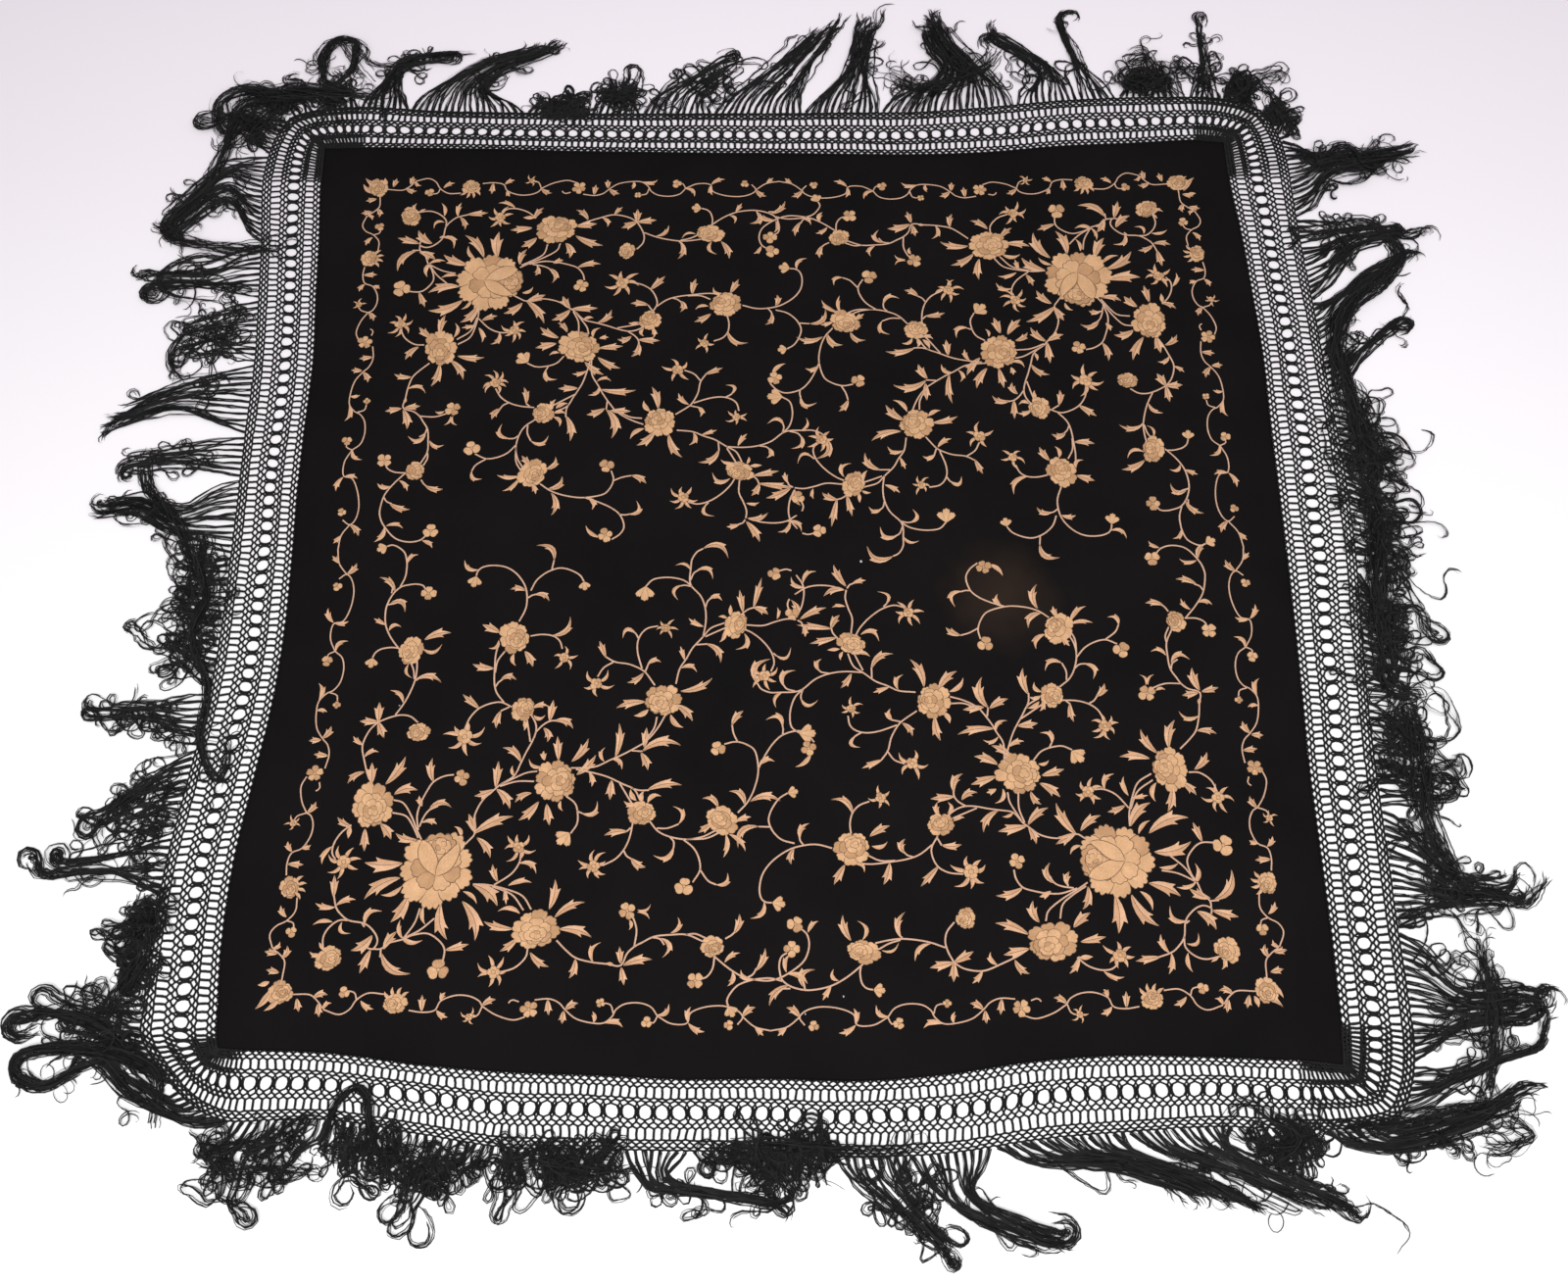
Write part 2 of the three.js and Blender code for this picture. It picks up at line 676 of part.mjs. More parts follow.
const group = new THREE.Group();
group.add(meshOf("cloth", makeCloth(), 0x17161a, 0.75));
sides.forEach((side, k) => {
  group.add(meshOf("net_" + side.name, makeNet(side, k), 0x141316, 0.7));
  group.add(meshOf("fringe_" + side.name, makeFringe(side), 0x121114, 0.6));
});

// The frame's origin is the middle of the whole outline, at the floor.
const box = new THREE.Box3().setFromObject(group);
const middle = box.getCenter(new THREE.Vector3());
group.children.forEach((mesh) => mesh.geometry.translate(-middle.x, -middle.y, -box.min.z));

export default group;
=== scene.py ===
"""The looks of a square silk shawl, embroidered, netted and fringed, that lies flat on a pale floor."""

import math
import random

import bmesh
import bpy
import numpy as np
from mathutils import Matrix, Vector


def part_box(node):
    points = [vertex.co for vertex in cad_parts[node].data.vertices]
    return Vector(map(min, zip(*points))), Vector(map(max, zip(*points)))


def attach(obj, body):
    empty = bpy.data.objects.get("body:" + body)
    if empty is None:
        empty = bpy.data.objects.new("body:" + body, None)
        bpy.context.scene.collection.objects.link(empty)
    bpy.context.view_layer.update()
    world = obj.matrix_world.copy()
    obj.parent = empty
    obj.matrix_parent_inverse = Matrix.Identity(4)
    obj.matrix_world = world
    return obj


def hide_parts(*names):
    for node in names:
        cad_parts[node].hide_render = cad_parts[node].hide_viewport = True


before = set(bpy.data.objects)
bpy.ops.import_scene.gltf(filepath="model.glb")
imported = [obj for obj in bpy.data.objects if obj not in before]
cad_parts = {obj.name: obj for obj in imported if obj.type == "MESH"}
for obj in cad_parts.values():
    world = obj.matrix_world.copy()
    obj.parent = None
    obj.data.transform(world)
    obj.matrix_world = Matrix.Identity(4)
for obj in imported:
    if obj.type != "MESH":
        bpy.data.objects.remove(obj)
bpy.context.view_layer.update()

# Sizes in millimetres. X runs to the right, Y to the back and Z up, from the middle of the silk.
half_square = 650  # half of a side of the even square that each side is measured from
fan_start = 600  # where a band of net begins to fan out to its corner
fan_end = 700  # the place along a side that stands for the corner's diagonal
most_reach = 92  # the farthest that the corner's arc is drawn out
arc_reach = 0.94  # how much of its reach the arc's middle takes
edge_closing = 1.6  # how soon the silk's edge closes on its corner
table_step = 100  # between the places in each side's tables
edge_count = 1401  # of the places at which the edges are worked out
cloth_wall = 1.2
border_x = -1  # where the middle of the embroidery lies on the silk
border_y = 12

# Each side has its own frame. along runs to the right of someone who stands outside that side
# and faces the silk, and out runs away from the silk. Each side is the last one's quarter turn.
# cloth and net: how far each edge stands out from the square, every 100 mm from -600 to 600.
# vine: how far the border's vine lies from the middle of the embroidery, at the same places.
# flowers: where the border's flowers stand along the side.
sides = [
    {
        "name": "front",
        "cloth": [-26, -22, -9, 0, 4, 9, 9, 12, 5, -9, -15, -13, -9],
        "net": [54, 52, 67, 83, 86, 88, 91, 96, 92, 78, 70, 65, 69],
        "vine": [571, 583, 585, 590, 595, 600, 603, 603, 598, 592, 585, 583, 575],
        "flowers": [-568, -432, -278, 0, 288, 440, 574],
    },
    {
        "name": "right",
        "cloth": [3, 4, 3, 2, 4, 6, 7, 7, 7, 8, 4, -1, -9],
        "net": [86, 85, 85, 85, 87, 92, 98, 99, 96, 91, 87, 82, 80],
        "vine": [572, 588, 586, 587, 588, 594, 590, 587, 587, 589, 585, 585, 566],
        "flowers": [-573, -446, -302, 0, 320, 458, 580],
    },
    {
        "name": "back",
        "cloth": [18, 12, 7, -3, -7, -6, -4, -3, -1, 1, 5, 7, 9],
        "net": [98, 97, 91, 80, 72, 71, 70, 70, 70, 71, 73, 76, 84],
        "vine": [580, 585, 577, 569, 566, 567, 571, 572, 573, 575, 575, 579, 575],
        "flowers": [-568, -434, -286, 0, 284, 438, 570],
    },
    {
        "name": "left",
        "cloth": [3, -6, -13, -21, -22, -24, -29, -32, -29, -19, -9, -8, -15],
        "net": [88, 77, 68, 60, 58, 55, 52, 50, 53, 63, 73, 76, 73],
        "vine": [568, 573, 565, 561, 560, 560, 549, 549, 551, 557, 567, 574, 566],
        "flowers": [-576, -454, -316, 0, 304, 446, 567],
    },
]

# The corner between each side and the next: the silk's corner and the net's corner.
corners = [
    {"cloth": (650, -647), "net": (707, -704)},
    {"cloth": (640, 664), "net": (700, 722)},
    {"cloth": (-655, 658), "net": (-712, 713)},
    {"cloth": (-630, -622), "net": (-674, -666)},
]

# Soft ridges of the silk as it lies: from one place to another, how high and how wide.
creases = [
    (130, -240, 330, -40, 1.3, 34),
    (260, -250, 430, -90, 1.0, 30),
    (60, 20, 75, -150, 0.7, 30),
    (-560, -560, -430, -540, 1.0, 32),
    (-600, 120, -560, -120, 0.8, 36),
    (240, 560, 480, 600, 0.7, 34),
]
# Tufts of the fringe: where the roots begin and end along the side, how high the tuft is, and the
# middle and the width of its way out, as (along, out, wide).
tufts = {
    "front": [
        (-676, -612, 8, [(-712, 24, 36), (-775, -24, 28), (-838, -18, 30)]),
        (-600, -500, 13, [(-580, 86, 126), (-588, 128, 84)]),
        (-486, -440, 6, [(-464, 80, 48), (-462, 104, 40)]),
        (-426, -312, 10, [(-380, 104, 104), (-392, 134, 62)]),
        (-296, -165, 10, [(-236, 98, 134), (-232, 112, 130)]),
        (-154, -96, 6, [(-124, 120, 28), (-62, 133, 17), (2, 144, 14)]),
        (-80, 64, 8, [(10, 96, 110), (22, 102, 100)]),
        (82, 146, 7, [(132, 128, 50), (186, 184, 24)]),
        (162, 240, 10, [(214, 142, 44), (298, 184, 46)]),
        (254, 380, 9, [(396, 103, 34), (500, 142, 42), (596, 200, 34)]),
        (412, 500, 9, [(502, 98, 38), (572, 132, 44), (628, 156, 40)]),
        (540, 600, 6, [(582, 84, 46), (592, 102, 38)]),
        (616, 686, 10, [(706, 80, 28), (790, 58, 40), (858, 26, 40)]),
    ],
    "right": [
        (-690, -644, 12, [(-664, 124, 28), (-646, 172, 34), (-630, 222, 24)]),
        (-630, -500, 12, [(-582, 146, 86), (-578, 212, 84)]),
        (-484, -352, 11, [(-444, 154, 76), (-448, 208, 50)]),
        (-338, -212, 11, [(-286, 128, 122), (-292, 162, 112)]),
        (-198, -34, 12, [(-126, 110, 168), (-138, 140, 162)]),
        (-16, 232, 12, [(94, 122, 254), (78, 153, 248)]),
        (246, 290, 6, [(300, 136, 34), (356, 200, 30)]),
        (306, 374, 10, [(374, 114, 36), (426, 166, 36), (456, 224, 36)]),
        (402, 520, 9, [(494, 148, 64), (504, 206, 46)]),
        (538, 640, 13, [(618, 128, 66), (628, 190, 58), (642, 246, 26)]),
        (654, 690, 6, [(704, 72, 20), (740, 80, 18)]),
    ],
    "back": [
        (-690, -640, 9, [(-674, 112, 40), (-690, 134, 40)]),
        (-626, -604, 5, [(-624, 152, 20), (-622, 222, 15)]),
        (-590, -502, 16, [(-546, 118, 88), (-542, 156, 62)]),
        (-486, -444, 5, [(-432, 172, 20), (-416, 240, 24)]),
        (-430, -352, 8, [(-388, 146, 46), (-322, 204, 36)]),
        (-338, -150, 12, [(-264, 144, 100), (-238, 192, 74), (-226, 230, 56)]),
        (-138, -42, 9, [(-112, 152, 52), (-124, 218, 46)]),
        (-28, 88, 6, [(2, 124, 92), (-48, 196, 66), (-98, 264, 22)]),
        (102, 200, 6, [(136, 110, 90), (80, 156, 70)]),
        (212, 264, 5, [(236, 100, 46), (226, 132, 42)]),
        (298, 330, 4, [(313, 82, 30), (308, 94, 26)]),
        (402, 528, 8, [(458, 124, 72), (420, 158, 46), (354, 190, 36), (290, 240, 34)]),
        (544, 600, 9, [(570, 124, 32), (556, 160, 28), (506, 172, 34)]),
        (614, 652, 5, [(650, 106, 34), (694, 118, 30)]),
        (664, 690, 7, [(714, 92, 18), (744, 96, 18)]),
    ],
    "left": [
        (-690, -640, 13, [(-710, 108, 40), (-716, 142, 44)]),
        (-620, -504, 9, [(-590, 138, 100), (-528, 198, 66)]),
        (-488, -402, 8, [(-432, 142, 62), (-430, 198, 60)]),
        (-388, -304, 5, [(-340, 118, 74), (-326, 158, 62)]),
        (-290, -190, 8, [(-240, 150, 74), (-216, 214, 44), (-188, 264, 26)]),
        (-178, -124, 6, [(-150, 138, 40), (-140, 200, 36)]),
        (-112, -10, 9, [(-54, 128, 62), (-76, 178, 48), (-72, 222, 32)]),
        (6, 178, 8, [(84, 82, 170), (72, 108, 162)]),
        (192, 248, 9, [(213, 124, 42), (216, 186, 42)]),
        (262, 340, 6, [(318, 112, 66), (346, 154, 46)]),
        (354, 440, 9, [(402, 132, 62), (410, 194, 40)]),
        (454, 508, 12, [(480, 86, 54), (484, 104, 42)]),
        (520, 552, 4, [(534, 88, 30), (534, 98, 26)]),
        (562, 640, 13, [(588, 108, 52), (574, 168, 56)]),
    ],
}

# The embroidery is one quarter of a pattern, sewn four times, each a quarter turn on from the last.
# Places are in the front left quarter, from the middle of the pattern.
# Where the same flowers stand in each quarter, turned back: the hand that sewed them let them drift.
anchors = [
    [(-398, -425), (-418, -412), (-415, -418), (-415, -398)],
    [(-483, -343), (-515, -328), (-510, -346), (-502, -312)],
    [(-265, -315), (-308, -298), (-300, -298), (-308, -270)],
    [(-277, -497), (-302, -484), (-293, -473), (-306, -458)],
    [(-137, -210), (-213, -198), (-186, -184), (-189, -156)],
    [(-49, -107), (-134, -95), (-101, -92), (-114, -47)],
    [(-327, -124), (-402, -95), (-376, -110), (-376, -72)],
    [(-60, -366), (-115, -357), (-92, -346), (-112, -320)],
    [(-455, -140), (-526, -107), (-500, -143), (-494, -95)],
    [(-310, -221), (-373, -202), (-352, -208), (-350, -175)],
    [(-158, -356), (-205, -345), (-189, -333), (-203, -312)],
    [(-69, -519), (-105, -508), (-85, -487), (-116, -475)],
    [(-567, -571), (-573, -573), (-568, -580), (-576, -570)],
    [(-514, -531), (-525, -532), (-519, -535), (-525, -518)],
]

# Roses: place, half widths, turn in degrees, and how many petals stand in the outer ring.
roses = [
    (-483, -344, 25, 30, 10, 8),
    (-265, -315, 26, 28, -25, 9),
    (-277, -497, 29, 23, 5, 8),
    (-137, -210, 23, 22, 20, 8),
    (-49, -108, 15, 20, -15, 6),
    (-327, -124, 20, 23, 15, 7),
    (-60, -367, 22, 18, -30, 6),
    (-455, -141, 15, 21, -10, 6),
    (-310, -221, 15, 17, 10, 6),
    (-158, -356, 17, 15, 0, 6),
    (-69, -519, 15, 13, 20, 5),
    (-515, -531, 17, 14, 30, 6),
    (-436, -251, 14, 12, 0, 6),
    (-567, -571, 16, 14, 15, 6),
]

# Buds like small stars: place, how far the points reach, how many, and the turn in degrees.
buds = [
    (-510, -415, 21, 7, 10),
    (-303, -398, 20, 7, 40),
    (-322, -548, 20, 7, 0),
    (-379, -257, 25, 7, 25),
    (-212, -422, 20, 8, 15),
    (-137, -112, 15, 6, 0),
    (-221, -187, 21, 5, 50),
    (-12, -178, 20, 7, 30),
    (-263, -152, 17, 5, 20),
]

# Blossoms with round petals: place, how far they reach, how many petals, and the turn in degrees.
blossoms = [
    (-378, -310, 10, 4, 20),
    (-386, -545, 13, 3, 90),
    (-441, -62, 10, 4, 0),
    (-1, -36, 9, 3, 60),
    (-68, -274, 10, 3, 110),
    (-104, -447, 11, 3, 80),
    (-170, -476, 11, 4, 30),
    (-88, -559, 10, 4, 45),
    (28, -493, 10, 3, 60),
    (43, -274, 10, 4, 20),
]

# Hanging bells: the place of the stalk's end, the length, and the way it points in degrees.
bells = [
    (-503, -151, 14, -95),
    (-500, 5, 14, 205),
    (-382, -38, 16, -100),
    (-244, -46, 13, -80),
    (-165, -53, 21, -92),
    (-243, -380, 20, 225),
]

# Leaves: from the stalk to the tip, the width, how far they bow to the left of that line as a share
# of their length, and their side points: 0 for none, 1 for one on the left, 2 for the right, 3 for both.
leaves = [
    # round the peony
    (-440, -417, -485, -417, 19, 0.05, 3),
    (-441, -435, -482, -459, 17, -0.08, 3),
    (-438, -445, -461, -457, 8, 0.12, 0),
    (-429, -456, -446, -489, 17, 0.06, 3),
    (-390, -467, -381, -510, 18, -0.08, 3),
    (-365, -464, -344, -510, 18, 0.10, 3),
    (-354, -444, -322, -468, 18, 0.10, 3),
    (-425, -388, -452, -381, 12, 0.10, 3),
    (-373, -385, -381, -371, 7, -0.15, 0),
    (-365, -452, -347, -466, 7, 0.10, 0),
    (-410, -470, -407, -492, 7, -0.10, 0),
    (-358, -381, -313, -358, 15, 0.06, 3),
    (-354, -386, -335, -410, 14, 0.08, 3),
    (-356, -380, -366, -356, 14, 0.0, 3),
    # round the rose beside it
    (-470, -318, -448, -283, 14, -0.05, 3),
    (-487, -318, -489, -290, 14, 0.0, 3),
    (-497, -302, -517, -316, 11, -0.10, 3),
    (-458, -331, -431, -324, 15, 0.12, 3),
    (-471, -368, -456, -387, 14, 0.05, 3),
    (-489, -374, -487, -402, 13, 0.0, 3),
    (-505, -371, -524, -360, 10, 0.08, 3),
    (-507, -371, -508, -386, 8, 0.0, 0),
    (-526, -396, -537, -417, 8, -0.12, 2),
    (-412, -315, -417, -285, 12, 0.08, 3),
    (-423, -346, -428, -333, 10, 0.05, 3),
    (-414, -350, -388, -345, 10, 0.20, 1),
    (-419, -365, -403, -368, 10, 0.10, 3),
    # along the branch to the middle
    (-336, -323, -335, -289, 14, 0.0, 3),
    (-337, -325, -361, -334, 13, 0.05, 3),
    (-335, -325, -316, -349, 14, 0.08, 3),
    (-315, -308, -318, -295, 6, 0.10, 0),
    (-308, -290, -330, -270, 12, -0.12, 3),
    (-262, -288, -265, -257, 13, 0.0, 3),
    (-246, -290, -226, -261, 14, -0.06, 3),
    (-281, -296, -299, -288, 7, 0.20, 0),
    (-279, -288, -281, -276, 9, 0.05, 3),
    (-292, -330, -312, -341, 10, -0.10, 3),
    (-283, -341, -305, -365, 15, 0.05, 3),
    (-273, -344, -268, -371, 14, 0.0, 3),
    (-256, -340, -254, -353, 6, -0.15, 0),
    (-239, -307, -216, -282, 13, -0.05, 3),
    (-193, -285, -189, -240, 12, -0.05, 3),
    (-158, -272, -156, -246, 13, 0.0, 3),
    (-160, -277, -114, -266, 15, 0.14, 3),
    (-162, -279, -152, -301, 13, 0.06, 3),
    (-198, -287, -183, -299, 8, 0.20, 2),
    (-206, -290, -208, -272, 7, 0.20, 1),
    (-224, -304, -219, -322, 9, 0.10, 3),
    (-196, -314, -197, -339, 13, 0.0, 3),
    (-152, -327, -111, -319, 13, 0.08, 3),
    (-230, -356, -210, -344, 9, -0.30, 2),
    # round the small rose and the wide one beside it
    (-164, -344, -180, -342, 8, 0.15, 1),
    (-165, -340, -173, -326, 8, 0.10, 0),
    (-157, -342, -157, -328, 8, 0.15, 0),
    (-151, -343, -136, -333, 8, 0.20, 0),
    (-174, -379, -202, -383, 11, -0.05, 3),
    (-168, -412, -151, -424, 13, -0.10, 3),
    (-113, -370, -117, -347, 8, -0.28, 2),
    (-118, -398, -140, -412, 9, 0.28, 1),
    (-66, -445, -51, -433, 8, -0.28, 2),
    (-66, -350, -84, -336, 10, -0.20, 2),
    (-44, -367, -26, -361, 9, 0.05, 3),
    (-72, -369, -89, -381, 10, 0.0, 3),
    (-52, -383, -31, -403, 9, 0.10, 1),
    (-56, -383, -57, -412, 8, 0.08, 2),
    (-34, -346, -51, -327, 12, -0.20, 2),
    (-27, -342, 9, -339, 12, 0.14, 3),
    (-51, -243, -38, -224, 12, 0.08, 3),
    (-17, -296, 1, -289, 9, 0.20, 1),
    (11, -246, -7, -233, 9, -0.35, 2),
    (46, -281, 28, -299, 8, 0.10, 0),
    # the lower branch
    (-262, -474, -256, -438, 13, -0.05, 3),
    (-255, -484, -221, -464, 13, 0.08, 3),
    (-249, -498, -210, -506, 14, 0.08, 3),
    (-303, -497, -338, -489, 13, 0.05, 3),
    (-296, -479, -322, -474, 8, -0.15, 0),
    (-297, -508, -316, -524, 12, 0.05, 3),
    (-281, -525, -259, -543, 12, -0.08, 3),
    (-325, -440, -333, -419, 10, 0.05, 3),
    (-301, -418, -279, -428, 10, 0.20, 3),
    (-312, -445, -285, -440, 9, 0.10, 1),
    (-316, -448, -313, -468, 8, 0.0, 3),
    (-228, -533, -233, -556, 11, 0.08, 3),
    (-207, -537, -202, -513, 8, 0.22, 1),
    (-175, -539, -177, -519, 11, 0.0, 3),
    (-172, -541, -139, -533, 14, 0.06, 3),
    (-174, -543, -170, -564, 11, 0.0, 3),
    (-183, -540, -192, -538, 6, 0.0, 0),
    (-118, -503, -108, -485, 8, -0.22, 2),
    (-129, -509, -123, -531, 9, 0.30, 1),
    (-44, -504, -37, -481, 11, -0.08, 3),
    (-54, -538, -37, -526, 8, 0.10, 3),
    (-45, -549, -49, -566, 9, 0.15, 2),
    (-18, -548, -6, -522, 11, -0.08, 3),
    (18, -550, 21, -528, 8, 0.15, 1),
    (20, -552, 43, -562, 10, 0.12, 2),
    (43, -503, 54, -489, 8, 0.12, 1),
    # the corner's thicket
    (-517, -458, -519, -431, 12, 0.0, 3),
    (-513, -468, -491, -460, 10, 0.10, 3),
    (-514, -470, -538, -466, 10, 0.08, 3),
    (-515, -488, -538, -490, 7, -0.10, 0),
    (-504, -488, -495, -503, 6, -0.30, 0),
    (-477, -492, -461, -473, 9, 0.28, 1),
    (-467, -504, -489, -523, 16, 0.10, 3),
    (-467, -521, -477, -549, 13, 0.0, 3),
    (-454, -525, -420, -552, 14, -0.14, 1),
    (-452, -521, -439, -499, 14, 0.06, 3),
    (-431, -508, -437, -486, 7, 0.10, 2),
    (-433, -505, -408, -512, 8, -0.15, 0),
    (-380, -522, -353, -515, 11, 0.0, 3),
    (-523, -526, -538, -524, 7, 0.15, 1),
    (-522, -521, -528, -512, 6, 0.0, 0),
    # the branch up the side
    (-446, -181, -414, -182, 11, 0.16, 3),
    (-459, -212, -475, -194, 8, -0.15, 1),
    (-487, -237, -488, -211, 13, 0.0, 3),
    (-487, -237, -510, -236, 13, 0.0, 3),
    (-487, -237, -478, -258, 14, 0.0, 3),
    (-503, -267, -516, -256, 8, 0.05, 3),
    (-499, -283, -483, -275, 8, 0.18, 1),
    (-440, -127, -408, -116, 13, 0.08, 3),
    (-441, -139, -417, -136, 7, -0.25, 0),
    (-486, -114, -472, -107, 7, 0.25, 0),
    (-491, -106, -507, -97, 8, 0.0, 3),
    (-488, -76, -467, -85, 11, 0.30, 1),
    (-484, -60, -504, -38, 10, -0.12, 3),
    (-472, -20, -460, -6, 8, 0.18, 1),
    (-457, -160, -453, -179, 5, -0.20, 0),
    # the second branch
    (-298, -220, -279, -216, 9, 0.12, 3),
    (-296, -229, -282, -231, 7, -0.25, 0),
    (-308, -236, -306, -249, 7, 0.10, 0),
    (-270, -237, -246, -245, 12, 0.16, 3),
    (-276, -237, -273, -209, 12, 0.0, 3),
    (-283, -246, -276, -264, 11, 0.15, 3),
    (-364, -220, -386, -201, 12, 0.0, 3),
    (-337, -223, -342, -246, 12, -0.05, 3),
    (-350, -166, -377, -161, 12, 0.05, 3),
    (-340, -182, -321, -180, 11, 0.20, 3),
    (-346, -117, -369, -106, 13, 0.0, 3),
    (-347, -128, -357, -140, 7, 0.25, 0),
    (-326, -146, -324, -163, 7, -0.15, 0),
    (-313, -143, -301, -164, 13, 0.05, 3),
    (-281, -122, -256, -98, 10, -0.20, 2),
    (-380, -29, -400, -17, 8, 0.20, 2),
    (-318, -59, -337, -56, 10, -0.10, 3),
    (-306, -65, -286, -72, 10, 0.18, 3),
    (-284, -16, -305, 8, 11, -0.22, 1),
    # round the middle
    (-116, -198, -76, -182, 13, -0.08, 3),
    (-159, -212, -195, -219, 13, -0.05, 3),
    (-155, -222, -172, -231, 9, 0.10, 0),
    (-122, -216, -99, -237, 14, 0.08, 3),
    (-127, -229, -112, -247, 9, -0.12, 0),
    (-211, -152, -220, -129, 10, 0.0, 3),
    (-158, -162, -142, -157, 9, 0.20, 1),
    (-163, -173, -182, -187, 10, 0.10, 3),
    (-176, -117, -192, -123, 7, -0.35, 0),
    (-27, -85, -17, -42, 11, 0.0, 3),
    (-27, -84, -8, -93, 12, 0.08, 3),
    (-40, -91, -45, -59, 11, 0.0, 3),
    (-56, -95, -56, -80, 7, 0.0, 0),
    (-60, -99, -71, -96, 6, -0.10, 0),
    (-63, -115, -68, -132, 7, 0.12, 0),
    (-38, -120, -45, -143, 9, 0.30, 1),
    (-93, 0, -59, -9, 12, 0.26, 1),
    (-108, -31, -127, -22, 6, -0.20, 0),
    (-101, -32, -78, -40, 9, 0.30, 1),
    (-118, -52, -126, -72, 7, -0.30, 0),
    (-83, -72, -67, -72, 9, 0.25, 1),
    (-90, -110, -109, -99, 10, 0.05, 3),
    (-86, -134, -65, -158, 12, 0.16, 3),
    (-112, -156, -118, -137, 8, 0.0, 3),
    (-116, -167, -96, -170, 9, 0.22, 1),
    (27, -99, 22, -73, 11, -0.12, 1),
    (32, -101, 65, -84, 13, 0.05, 3),
    (36, -109, 39, -125, 9, 0.05, 3),
    (36, -50, 51, -32, 8, 0.20, 1),
    (3, -100, 4, -84, 6, -0.10, 2),
    (1, -149, 22, -143, 6, -0.35, 0),
    (28, -40, 27, -38, 3, 0.0, 0),
    (-158, -475, -142, -470, 5, -0.20, 0),
    (-158, -478, -143, -485, 5, 0.15, 0),
    (-167, -487, -166, -499, 6, 0.15, 0),
]

